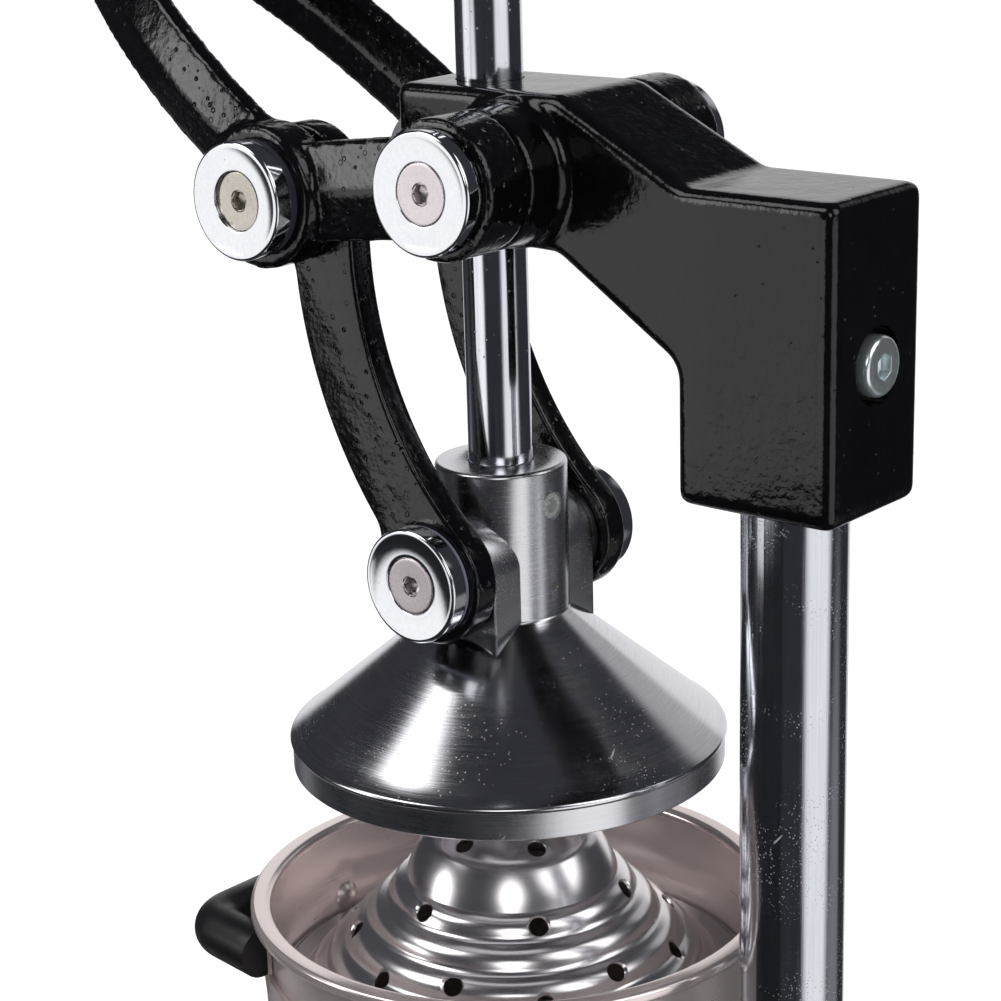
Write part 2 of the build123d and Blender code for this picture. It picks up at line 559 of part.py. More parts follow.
def make_lever():
    """Lever casting: per side an eye, a bar and a crank boss, and arms that join in a shank."""
    bend_run = ARM_RUN + ARM_INTO_SHANK - ARM_STRAIGHT
    stations = [ARM_STRAIGHT + bend_run * share for share in (0, 0.25, 0.5, 0.75, 1)]
    arm = extrude(arm_plane(0) * ridged_section(ARM_WIDTH), ARM_STRAIGHT)
    arm += loft([arm_plane(run) * ridged_section(ARM_WIDTH) for run in stations])
    bar_angle = CRANK_DROP_DEG
    bar_plane = Plane(origin=(BAR_MID_X, PIVOT_Y, PIVOT_Z), x_dir=(1, 0, 0),
                      z_dir=(0, -cos(radians(bar_angle)), -sin(radians(bar_angle))))
    bar = extrude(bar_plane * ridged_section(BAR_WIDTH), CRANK_LENGTH)
    half = bar + rod_along_x(EYE_D / 2, BOSS_GAP_X, EYE_FACE_X, PIVOT_Y, PIVOT_Z)
    half += rod_along_x(CRANK_BOSS_D / 2, CRANK_INNER_X, CRANK_FACE_X, CRANK_Y, CRANK_Z)
    half += arm
    half -= rod_along_x(STUD_D / 2 + RUNNING_FIT, BOSS_GAP_X - 5, EYE_FACE_X + 5, PIVOT_Y, PIVOT_Z)
    half -= rod_along_x(SCREW_D / 2 + SCREW_CLEARANCE, CRANK_INNER_X - 5, CRANK_FACE_X + 5,
                        CRANK_Y, CRANK_Z)
    lever = half + mirror(half, Plane.YZ)
    shank_plane = Plane(origin=(0, SHANK_START_Y, SHANK_START_Z), x_dir=(1, 0, 0),
                        z_dir=(0, -cos(RISE), sin(RISE)))
    shank = shank_plane * Pos(0, 0, -SHANK_IN_ARMS) * Cylinder(
        SHANK_D / 2, SHANK_LENGTH + SHANK_IN_ARMS, align=(Align.CENTER, Align.CENTER, Align.MIN))
    return lever + shank


def make_grip():
    """Moulded grip sleeve with a swell in the middle and a round end."""
    start = SHANK_LENGTH + GRIP_WALL_END - GRIP_LENGTH
    end = SHANK_LENGTH + GRIP_WALL_END
    radius, waist, bore = GRIP_END_R, GRIP_D / 2 - 2.5, SHANK_D / 2 + FIXED_FIT
    outline = [
        Line((bore, start), (waist - 2, start)),
        Line((waist - 2, start), (waist, start + 2)),
        ThreePointArc((waist, start + 2), (radius - 0.4, (start + end - radius) / 2),
                      (radius, end - radius)),
        CenterArc((0, end - radius), radius, 0, 90),
        Line((0, end), (0, SHANK_LENGTH + 0.2)),
        Line((0, SHANK_LENGTH + 0.2), (bore, SHANK_LENGTH + 0.2)),
        Line((bore, SHANK_LENGTH + 0.2), (bore, start)),
    ]
    sleeve = revolve(make_face([Plane.XZ * edge for edge in outline]), Axis.Z)
    shank_plane = Plane(origin=(0, SHANK_START_Y, SHANK_START_Z), x_dir=(1, 0, 0),
                        z_dir=(0, -cos(RISE), sin(RISE)))
    return shank_plane * sleeve


def washer_x(outer_d, bore_d, x_from, x_to, y, z):
    """Flat ring along X."""
    return rod_along_x(outer_d / 2, x_from, x_to, y, z) - rod_along_x(bore_d / 2, x_from, x_to, y, z)


def make_crank_nylon_washers():
    """Nylon washers under the crank caps."""
    ring = washer_x(NYLON_D, SCREW_D + 2 * SCREW_CLEARANCE, CRANK_FACE_X, CAP_SEAT_X,
                    CRANK_Y, CRANK_Z)
    return both_sides(ring)


def make_crank_caps():
    """Cup washers on the crank pivots, with their screws sunk deeper."""
    return both_sides(on_x_axis(cup_washer(CRANK_SCREW_SINK), CAP_SEAT_X + CAP_THICKNESS,
                                CRANK_Y, CRANK_Z))


def crank_stack_x():
    """Inner face of the washer inboard of the link eye, and of the nut behind it."""
    washer_face = LINK_INNER_X - SIDE_GAP
    nut_face = washer_face - THRUST_THICKNESS
    return washer_face, nut_face


def make_crank_screws():
    """Screws of the crank pivots, which reach through the link eyes to the lock nuts."""
    _, nut_face = crank_stack_x()
    head_face = CAP_SEAT_X + CAP_THICKNESS - CRANK_SCREW_SINK
    length = head_face - (nut_face - NUT_HEIGHT) + 1
    return both_sides(on_x_axis(countersunk_screw(length), head_face, CRANK_Y, CRANK_Z))


def make_crank_thrust_washers():
    """Flat washers on both sides of each link eye at the crank."""
    washer_face, nut_face = crank_stack_x()
    bore = SCREW_D + 2 * SCREW_CLEARANCE
    outer = washer_x(THRUST_D, bore, LINK_OUTER_X + SIDE_GAP, CRANK_INNER_X, CRANK_Y, CRANK_Z)
    inner = washer_x(THRUST_D, bore, nut_face, washer_face, CRANK_Y, CRANK_Z)
    return group([both_sides(outer), both_sides(inner)])


def make_crank_nuts():
    """Lock nuts on the inner ends of the crank screws."""
    _, nut_face = crank_stack_x()
    nut = extrude(RegularPolygon(NUT_AF / sqrt(3), 6), NUT_HEIGHT)
    nut -= Pos(0, 0, NUT_HEIGHT / 2) * Cylinder(SCREW_D / 2 + FIXED_FIT, NUT_HEIGHT + 2)
    return both_sides(on_x_axis(nut, nut_face - NUT_HEIGHT, CRANK_Y, CRANK_Z))


# ---- links ----------------------------------------------------------------------------------
def make_link():
    """Curved link of the +X side: two eyes joined by a band whose concave edge is tangent to both."""
    eye_y, eye_z = CRANK_Y + LINK_EYE_SHIFT, CRANK_Z
    foot_y, foot_z = 0.0, PRESS_PIVOT_Z
    eye_r = LINK_EYE_D / 2
    mid_y, mid_z = (eye_y + foot_y) / 2, (eye_z + foot_z) / 2
    span = hypot(eye_y - foot_y, eye_z - foot_z)
    reach = sqrt((LINK_HOLLOW_RADIUS + eye_r) ** 2 - (span / 2) ** 2)
    centre_y = mid_y + reach * (eye_z - foot_z) / span
    centre_z = mid_z - reach * (eye_y - foot_y) / span
    band = rod_along_x(LINK_HOLLOW_RADIUS + LINK_WIDTH, LINK_INNER_X, LINK_OUTER_X, centre_y, centre_z)
    band -= rod_along_x(LINK_HOLLOW_RADIUS, LINK_INNER_X, LINK_OUTER_X, centre_y, centre_z)
    far = 2 * LINK_HOLLOW_RADIUS / eye_r
    corners = [(centre_y, centre_z)]
    corners += [(centre_y + far * (y - centre_y), centre_z + far * (z - centre_z))
                for y, z in ((eye_y, eye_z), (foot_y, foot_z))]
    wedge = prism_x(corners, LINK_INNER_X, LINK_OUTER_X)
    link = band & wedge
    link += rod_along_x(eye_r, LINK_INNER_X, LINK_OUTER_X, eye_y, eye_z)
    link += rod_along_x(eye_r, LINK_INNER_X, LINK_OUTER_X, foot_y, foot_z)
    corners = link.edges().filter_by(Axis.X).filter_by(
        lambda e: hypot(e.center().Y - centre_y, e.center().Z - centre_z) > LINK_HOLLOW_RADIUS + 5)
    link = fillet(corners, 9)
    rims = [e for face in link.faces().filter_by(Axis.X) for e in face.outer_wire().edges()]
    link = chamfer(rims, LINK_EDGE)
    open_r = SCREW_D / 2 + LINK_EYE_WANDER + SIDE_GAP
    link -= rod_along_x(open_r, LINK_INNER_X - 1, LINK_OUTER_X + 1, eye_y, eye_z)
    link -= rod_along_x(BUSH_D / 2 + RUNNING_FIT, LINK_INNER_X - 1, LINK_OUTER_X + 1, foot_y, foot_z)
    return link


# ---- press head -----------------------------------------------------------------------------
def make_rod():
    """Plated rod that guides the press head."""
    rod = rod_along_z(ROD_D / 2, HUB_TOP_Z - ROD_IN_HUB, HEAD_TOP_Z + ROD_TOP_ABOVE_HEAD)
    rod = chamfer(rod.edges().filter_by(GeomType.CIRCLE), ROD_CHAMFER)
    pin_z = HUB_TOP_Z - PRESS_PIN_BELOW_TOP
    return rod - Pos(0, 0, pin_z) * Rot(90, 0, 0) * Cylinder(PRESS_PIN_D / 2, ROD_D + 2)


def press_screw_foot():
    """Inner end of the press pivots' tapped holes, clear of the rod."""
    return ROD_D / 2 + 2.5


def make_press_head():
    """Cast press head: hub, two arched ears, cone, machined rim band and a hollow below."""
    hub_r, cone_r = HUB_D / 2, CONE_D / 2
    slope = CONE_DROP / (cone_r - hub_r)
    inner_r = cone_r - RIM_WIDTH
    skirt_z = BAND_TOP_Z + (cone_r - inner_r) * slope - CONE_WALL
    roof_z = skirt_z + (inner_r - HOLLOW_ROOF_R) * slope
    body = revolved([(0, HUB_TOP_Z), (hub_r - 0.8, HUB_TOP_Z), (hub_r, HUB_TOP_Z - 0.8),
                     (hub_r, HUB_FOOT_Z), (cone_r, BAND_TOP_Z), (cone_r + 0.6, BAND_TOP_Z - 1.2),
                     (cone_r, PRESS_FOOT_Z), (inner_r, PRESS_FOOT_Z), (inner_r, skirt_z),
                     (HOLLOW_ROOF_R, roof_z), (HOLLOW_ROOF_R - 6, roof_z + 1.5),
                     (0, roof_z + 1.5)])
    ear_foot = HUB_FOOT_Z - (EAR_FACE_X - hub_r) * slope - 4
    ears = Part()
    for side_x in (-1, 1):
        ears += rod_along_x(EAR_HALF_WIDTH, 0, side_x * EAR_FACE_X, 0, PRESS_PIVOT_Z)
        ears += Pos(side_x * EAR_FACE_X / 2, 0, (PRESS_PIVOT_Z + ear_foot) / 2) * Box(
            EAR_FACE_X, 2 * EAR_HALF_WIDTH, PRESS_PIVOT_Z - ear_foot)
    body += ears
    body -= rod_along_z(ROD_D / 2 + FIXED_FIT, HUB_TOP_Z - ROD_IN_HUB - 0.5, HUB_TOP_Z + 1)
    for side_x in (-1, 1):
        body -= rod_along_x(SCREW_D / 2 + FIXED_FIT, side_x * press_screw_foot(),
                            side_x * (EAR_FACE_X + 1), 0, PRESS_PIVOT_Z)
    screw_z = HUB_TOP_Z - HUB_SET_SCREW_BELOW_TOP
    body -= Pos(0, hub_r / 2 + 5, screw_z) * Rot(90, 0, 0) * Cylinder(
        HUB_SET_SCREW_D / 2 + FIXED_FIT, hub_r + 10)
    pin_z = HUB_TOP_Z - PRESS_PIN_BELOW_TOP
    body -= Pos(0, hub_r / 2, pin_z) * Rot(90, 0, 0) * Cylinder(PRESS_PIN_D / 2, hub_r + 2)
    return body


def make_hub_set_screw():
    """Set screw that holds the rod in the hub."""
    tip, face = ROD_D / 2 + FIXED_FIT, HUB_D / 2 - 0.6
    screw = Cylinder(HUB_SET_SCREW_D / 2, face - tip, align=(Align.CENTER, Align.CENTER, Align.MAX))
    screw = chamfer(screw.edges().sort_by(Axis.Z)[-1], 0.6) - hex_socket(4, 3)
    return Pos(0, face, HUB_TOP_Z - HUB_SET_SCREW_BELOW_TOP) * Rot(-90, 0, 0) * screw


def make_press_pin():
    """Cross pin through the hub's rear wall and the rod."""
    start, end = -ROD_D / 2 + 2, HUB_D / 2 - 0.2
    pin = Pos(0, (start + end) / 2, HUB_TOP_Z - PRESS_PIN_BELOW_TOP) * Rot(90, 0, 0) * Cylinder(
        PRESS_PIN_D / 2 - FIXED_FIT, end - start)
    return pin


def make_press_thrust_washers():
    """Dark washers between the ears and the link eyes."""
    ring = washer_x(THRUST_D, BUSH_D + 2 * FIXED_FIT, EAR_FACE_X, PRESS_THRUST_X, 0, PRESS_PIVOT_Z)
    return both_sides(ring)


def make_press_bushes():
    """Sleeves the links turn on at the press head."""
    bush = washer_x(BUSH_D, SCREW_D + 2 * FIXED_FIT, EAR_FACE_X, PRESS_CAP_X, 0, PRESS_PIVOT_Z)
    return both_sides(bush)


def make_press_nylon_washers():
    """Nylon washers under the press pivots' caps."""
    ring = washer_x(NYLON_D, BUSH_D + 2 * FIXED_FIT, PRESS_NYLON_X, PRESS_CAP_X, 0, PRESS_PIVOT_Z)
    return both_sides(ring)


def make_press_caps():
    """Cup washers that keep the links on the press head."""
    return both_sides(on_x_axis(cup_washer(CAP_DISH), PRESS_CAP_X + CAP_THICKNESS, 0,
                                PRESS_PIVOT_Z))


def make_press_screws():
    """Screws of the press pivots."""
    head_face = PRESS_CAP_X + CAP_THICKNESS - CAP_DISH
    length = head_face - press_screw_foot() - SCREW_TIP_GAP
    return both_sides(on_x_axis(countersunk_screw(length), head_face, 0, PRESS_PIVOT_Z))


# ---- bowl -----------------------------------------------------------------------------------
def make_bowl():
    """Drawn steel bowl: rolled flat rim, straight wall, strainer ledge and a rounded foot."""
    outer, foot, corner, rim = BOWL_R, BOWL_FOOT_R, BOWL_CORNER, BOWL_RIM_R
    top, ledge, floor = RIM_Z, LEDGE_Z, SEAT_Z
    outline = [(foot, floor + corner), (foot, ledge - SHEET), (outer, ledge - SHEET),
               (outer, top - SHEET), (rim - SHEET, top - SHEET), (rim - SHEET, top - BOWL_RIM_ROLL),
               (rim, top - BOWL_RIM_ROLL), (rim, top - BOWL_RIM_EDGE), (rim - BOWL_RIM_EDGE, top),
               (outer + BOWL_RIM_EDGE, top), (outer - SHEET, top - SHEET - BOWL_RIM_EDGE),
               (outer - SHEET, ledge), (foot - SHEET, ledge), (foot - SHEET, floor + corner)]
    lines = [Line(start, end) for start, end in zip(outline, outline[1:])]
    lines += [
        CenterArc((foot - corner, floor + corner), corner - SHEET, 0, -90),
        Line((foot - corner, floor + SHEET), (0, floor + SHEET)),
        Line((0, floor + SHEET), (0, floor)),
        Line((0, floor), (foot - corner, floor)),
        CenterArc((foot - corner, floor + corner), corner, -90, 90),
    ]
    return revolve(make_face([Plane.XZ * edge for edge in lines]), Axis.Z) - rivet_holes()


def rivet_angles():
    """Directions of the two rivets, from +X towards +Y."""
    return [GRIP_MID_DEG - RIVET_SPREAD_DEG, GRIP_MID_DEG + RIVET_SPREAD_DEG]


def rivet_holes():
    """Cutters for the rivet holes through the bowl's wall and the strap."""
    depth = 2 * (SHEET + STRAP_THICKNESS)
    drill = Pos(BOWL_R, 0, RIVET_Z) * Rot(0, 90, 0) * Cylinder(RIVET_D / 2 + FIXED_FIT, 2 * depth)
    return [Rot(0, 0, angle) * drill for angle in rivet_angles()]


def make_rivets():
    """Rivets that hold the strap: a low head inside the bowl, a flat one outside."""
    inside = BOWL_R - SHEET - RIVET_SEAT_GAP
    outside = BOWL_R + STRAP_THICKNESS + RIVET_SEAT_GAP
    head_r, shank_r = RIVET_HEAD_D / 2, RIVET_D / 2
    outline = [
        Line((0, inside - RIVET_HEAD_H), (0, outside + RIVET_HEAD_H)),
        Line((0, outside + RIVET_HEAD_H), (head_r - 0.6, outside + RIVET_HEAD_H)),
        Line((head_r - 0.6, outside + RIVET_HEAD_H), (head_r, outside)),
        Line((head_r, outside), (shank_r, outside)),
        Line((shank_r, outside), (shank_r, inside)),
        Line((shank_r, inside), (head_r, inside)),
        dome_arc(head_r, inside, inside - RIVET_HEAD_H),
    ]
    rivet = revolve(make_face([Plane.XZ * edge for edge in outline]), Axis.Z)
    return group([Pos(0, 0, RIVET_Z) * Rot(0, 0, angle) * Rot(0, 90, 0) * rivet
                  for angle in rivet_angles()])


def grip_path():
    """Centreline of the bowl grip: two straight legs and a bend between them."""
    def at(reach, angle):
        turn = radians(GRIP_MID_DEG + angle)
        return (BOWL_R + reach) * cos(turn), (BOWL_R + reach) * sin(turn), BOWL_GRIP_Z
    return FilletPolyline(at(BOWL_GRIP_END_REACH, -GRIP_SPREAD_DEG), at(BOWL_GRIP_REACH, 0),
                          at(BOWL_GRIP_END_REACH, GRIP_SPREAD_DEG), radius=BOWL_GRIP_BEND)


def make_bowl_strap():
    """Steel strap round the wall, with two lugs that enter the grip's ends."""
    sweep_deg = 2 * RIVET_SPREAD_DEG + STRAP_END_DEG
    inner, outer = BOWL_R + FIXED_FIT, BOWL_R + STRAP_THICKNESS
    low, high = RIVET_Z - STRAP_WIDTH / 2, RIVET_Z + STRAP_WIDTH / 2
    face = make_face(Plane.XZ * Polyline((inner, low), (outer, low), (outer, high), (inner, high),
                                         close=True))
    strap = Rot(0, 0, GRIP_MID_DEG - sweep_deg / 2) * revolve(face, Axis.Z, sweep_deg)
    lug_top = BOWL_GRIP_Z + STRAP_THICKNESS * 2
    lug = Pos(BOWL_R + (BOWL_GRIP_END_REACH + LUG_REACH) / 2, 0, (RIVET_Z + lug_top) / 2) * Box(
        BOWL_GRIP_END_REACH + LUG_REACH, LUG_THICKNESS, lug_top - RIVET_Z)
    for side in (-1, 1):
        strap += Rot(0, 0, GRIP_MID_DEG + side * GRIP_SPREAD_DEG) * lug
    strap -= rivet_holes()
    return strap - rod_along_z(inner, low - 1, lug_top + 1)


def make_bowl_grip():
    """Moulded side handle: a bent bar whose ends follow the wall."""
    path = grip_path()
    section = Plane(origin=path @ 0, z_dir=path % 0) * Circle(BOWL_GRIP_D / 2)
    grip = sweep(section, path)
    wall = rod_along_z(BOWL_R + STRAP_THICKNESS + FIXED_FIT, SEAT_Z, RIM_Z)
    return grip - wall - make_bowl_strap()


# ---- strainer -------------------------------------------------------------------------------
def bulged(start, end, bulge):
    """Arc from start to end whose middle stands out from the chord by the bulge."""
    chord = hypot(end[0] - start[0], end[1] - start[1])
    out_r, out_z = (start[1] - end[1]) / chord, (end[0] - start[0]) / chord
    middle = ((start[0] + end[0]) / 2 + bulge * out_r, (start[1] + end[1]) / 2 + bulge * out_z)
    return ThreePointArc(start, middle, end)


def crown_drop(radius):
    """How far the crown has fallen at a radius."""
    return STRAINER_CROWN_R - sqrt(STRAINER_CROWN_R ** 2 - radius ** 2)


def strainer_crown_z():
    """Height of the strainer's crown."""
    fall = STRAINER_FLARE_DROP + STRAINER_BANDS * STRAINER_BAND_DROP
    return LEDGE_Z + STRAINER_SHEET + fall + crown_drop(STRAINER_CROWN_EDGE_R)


def strainer_steps():
    """Corners of the strainer's outside below the crown, each with the bulge of the arc to it."""
    radius, height = STRAINER_CROWN_EDGE_R, strainer_crown_z() - crown_drop(STRAINER_CROWN_EDGE_R)
    steps = [(radius, height, 0)]
    radius += STRAINER_FLARE_WIDTH
    height -= STRAINER_FLARE_DROP
    steps.append((radius, height, STRAINER_FLARE_BULGE))
    for _ in range(STRAINER_BANDS):
        for share, bulge in ((1 - STRAINER_GROOVE_SHARE, STRAINER_BULGE),
                             (STRAINER_GROOVE_SHARE, -STRAINER_GROOVE_DEPTH)):
            radius += share * STRAINER_BAND_WIDTH
            height -= share * STRAINER_BAND_DROP
            steps.append((radius, height, bulge))
    return steps


def strainer_profile(offset):
    """Edges from the crown down to the flange's rim, moved inwards by an offset."""
    centre_z = strainer_crown_z() - STRAINER_CROWN_R
    crown = STRAINER_CROWN_R - offset
    steps = strainer_steps()
    edge_r = steps[0][0] - offset
    start = (edge_r, centre_z + sqrt(crown ** 2 - edge_r ** 2))
    half = asin(edge_r / crown) / 2
    edges = [ThreePointArc((0, centre_z + crown), (crown * sin(half), centre_z + crown * cos(half)),
                           start)]
    for radius, height, bulge in steps[1:-1]:
        end = (radius - offset, height)
        edges.append(bulged(start, end, bulge))
        start = end
    radius, height, bulge = steps[-1]
    end = (radius - offset, height - offset)
    edges.append(bulged(start, end, bulge))
    edges.append(Line(end, (STRAINER_FLANGE_R, end[1])))
    return edges


def make_strainer():
    """Stepped dome of perforated sheet with a flat flange."""
    outer, inner = strainer_profile(0), strainer_profile(STRAINER_SHEET)
    crown_z = strainer_crown_z()
    closing = [Line((STRAINER_FLANGE_R, LEDGE_Z + STRAINER_SHEET), (STRAINER_FLANGE_R, LEDGE_Z)),
               Line((0, crown_z), (0, crown_z - STRAINER_SHEET))]
    body = revolve(make_face([Plane.XZ * edge for edge in outer + inner + closing]), Axis.Z)
    punch = Cylinder(STRAINER_HOLE_D / 2, STRAINER_PUNCH)
    edge_r, edge_z, _ = strainer_steps()[1]
    band_slope = STRAINER_BAND_DROP / STRAINER_BAND_WIDTH
    places = []
    for radius, phase in CROWN_HOLE_ROWS:
        places.append((radius, crown_z - crown_drop(radius), degrees(asin(radius / STRAINER_CROWN_R)),
                       phase))
    for radius, phase in STEP_HOLE_ROWS:
        places.append((radius, edge_z - (radius - edge_r) * band_slope, degrees(atan2(band_slope, 1)),
                       phase))
    for radius, height, tilt, phase in places:
        for hole in range(STRAINER_HOLES):
            turn = phase + 360 / STRAINER_HOLES * hole
            body -= Rot(0, 0, turn) * Pos(radius, 0, height) * Rot(0, tilt, 0) * punch
    return body


# ---- output ---------------------------------------------------------------------------------
def main():
    """Build every sub-part and write one STEP file for each."""
    link = make_link()
    nodes = {
        "base_casting": make_base(),
        "rubber_feet": make_feet(),
        "foot_screws": make_foot_screws(),
        "column": make_column(),
        "column_bolt": make_column_bolt(),
        "column_washer": make_column_washer(),
        "head_casting": make_head(),
        "guide_bush": make_guide_bush(),
        "head_clamp_screw": make_clamp_screw(),
        "head_pivot_studs": make_studs(),
        "head_pivot_caps": make_head_caps(),
        "head_pivot_screws": make_head_screws(),
        "lever_casting": make_lever(),
        "lever_grip": make_grip(),
        "crank_nylon_washers": make_crank_nylon_washers(),
        "crank_caps": make_crank_caps(),
        "crank_screws": make_crank_screws(),
        "crank_thrust_washers": make_crank_thrust_washers(),
        "crank_lock_nuts": make_crank_nuts(),
        "link_right": link,
        "link_left": mirror(link, Plane.YZ),
        "press_rod": make_rod(),
        "press_head": make_press_head(),
        "hub_set_screw": make_hub_set_screw(),
        "press_pin": make_press_pin(),
        "press_thrust_washers": make_press_thrust_washers(),
        "press_pivot_bushes": make_press_bushes(),
        "press_nylon_washers": make_press_nylon_washers(),
        "press_pivot_caps": make_press_caps(),
        "press_pivot_screws": make_press_screws(),
        "bowl": make_bowl(),
        "bowl_rivets": make_rivets(),
        "bowl_strap": make_bowl_strap(),
        "bowl_grip": make_bowl_grip(),
        "strainer": make_strainer(),
    }
    os.makedirs("parts", exist_ok=True)
    for name, shape in nodes.items():
        export_step(place(shape), f"parts/{name}.step")


if __name__ == "__main__":
    main()
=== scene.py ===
"""Hand lever citrus press: new pieces, finishes, stage, lamps and camera round the CAD frame."""
import logging
import math
from dataclasses import dataclass, field
from enum import Enum
from typing import Callable, Sequence

import bpy
from mathutils import Euler, Matrix, Vector


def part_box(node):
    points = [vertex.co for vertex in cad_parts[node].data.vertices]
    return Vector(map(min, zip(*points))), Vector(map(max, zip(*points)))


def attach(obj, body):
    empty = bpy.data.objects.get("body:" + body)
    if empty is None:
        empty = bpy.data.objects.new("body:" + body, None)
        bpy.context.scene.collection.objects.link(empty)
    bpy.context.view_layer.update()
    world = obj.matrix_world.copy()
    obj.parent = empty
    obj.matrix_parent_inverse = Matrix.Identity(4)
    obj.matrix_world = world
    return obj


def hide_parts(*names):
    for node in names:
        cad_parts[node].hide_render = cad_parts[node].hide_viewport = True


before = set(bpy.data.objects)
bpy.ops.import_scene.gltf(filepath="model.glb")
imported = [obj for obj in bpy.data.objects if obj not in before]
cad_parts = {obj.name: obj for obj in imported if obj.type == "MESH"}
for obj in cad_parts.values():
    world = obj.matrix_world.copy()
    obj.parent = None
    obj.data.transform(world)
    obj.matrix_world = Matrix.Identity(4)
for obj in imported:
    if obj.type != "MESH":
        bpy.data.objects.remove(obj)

LOG = logging.getLogger("citrus_press")
MM = 0.001
Flat = tuple[float, float]
Point = tuple[float, float, float]
Socket = bpy.types.NodeSocket
Mesh = bpy.types.Object


class Body(Enum):
    """Bodies of the frame that pieces ride on."""

    FRAME = "frame"
    LEVER = "lever"
    PRESS = "press"
    RIGHT_LINK = "right_link"
    LEFT_LINK = "left_link"
    BOWL = "bowl_set"


class Lay(Enum):
    """Which way the fine marks of a metal finish run."""

    TURNED = "turned"
    DRAWN = "drawn"
    RANDOM = "random"


class Element(Enum):
    """What a selection is made of."""

    EDGE = "EDGE"
    FACE = "FACE"


class Combine(Enum):
    """What a tool body does to a piece."""

    CUT = "DIFFERENCE"
    FUSE = "UNION"
    TRIM = "INTERSECT"


class Axis(Enum):
    """Axis of a round piece, with the turn that lays a cylinder along it."""

    X = (0.0, math.pi / 2, 0.0)
    Y = (math.pi / 2, 0.0, 0.0)
    Z = (0.0, 0.0, 0.0)

    def line(self) -> Vector:
        """Unit vector along the axis."""
        return Vector([float(self is axis) for axis in Axis])


# ---- node graphs ----------------------------------------------------------------------------
def rgb(red: float, green: float, blue: float) -> tuple[float, float, float, float]:
    """Linear colour with full alpha."""
    return (red, green, blue, 1.0)


class Graph:
    """Node tree of a material or of the world, with short calls that add nodes and link them."""

    def __init__(self, owner: bpy.types.Material | bpy.types.World) -> None:
        """Start with no nodes.

        Args:
            owner: What the tree belongs to.
        """
        owner.use_nodes = True
        self.owner = owner
        self.tree = owner.node_tree
        self.tree.nodes.clear()

    def add(self, kind: str, **settings: object) -> bpy.types.Node:
        """Add a node.

        Args:
            kind: Type of the node.
            settings: Properties to set on it.

        Returns:
            The new node.
        """
        node = self.tree.nodes.new(kind)
        for key, value in settings.items():
            setattr(node, key, value)
        return node

    def feed(self, target: Socket, source: Socket | float | Sequence[float]) -> None:
        """Give an input its source.

        Args:
            target: The input.
            source: Socket to link to it, or its own value.
        """
        if isinstance(source, bpy.types.NodeSocket):
            self.tree.links.new(source, target)
        else:
            target.default_value = source

    def math(self, operation: str, first: Socket | float, second: Socket | float = 0.0) -> Socket:
        """Add a Math node.

        Args:
            operation: What it does.
            first: First number.
            second: Second number, where the operation has one.

        Returns:
            The result.
        """
        node = self.add("ShaderNodeMath", operation=operation)
        self.feed(node.inputs[0], first)
        self.feed(node.inputs[1], second)
        return node.outputs[0]

    def remap(self, value: Socket, low: float, high: float, to_low: float = 0.0, to_high: float = 1.0,
              soft: bool = False) -> Socket:
        """Change a range, with its ends held.

        Args:
            value: Number to change.
            low: Where the range starts.
            high: Where it ends.
            to_low: What its start becomes.
            to_high: What its end becomes.
            soft: Whether it starts and ends gently.

        Returns:
            The new number.
        """
        curve = "SMOOTHSTEP" if soft else "LINEAR"
        node = self.add("ShaderNodeMapRange", clamp=True, interpolation_type=curve)
        for socket, source in zip(node.inputs[:5], (value, low, high, to_low, to_high)):
            self.feed(socket, source)
        return node.outputs[0]

    def by_ray(self, surface: Socket, *others: tuple[str, Socket]) -> Socket:
        """Show some kinds of ray another shader.

        Args:
            surface: Shader that all other rays meet.
            others: Kinds of ray, by their output of Light Path, each with its shader.

        Returns:
            The mixed shader.
        """
        rays = self.add("ShaderNodeLightPath")
        for ray, shader in others:
            mix = self.add("ShaderNodeMixShader")
            for socket, source in zip(mix.inputs, (rays.outputs[ray], surface, shader)):
                self.feed(socket, source)
            surface = mix.outputs[0]
        return surface


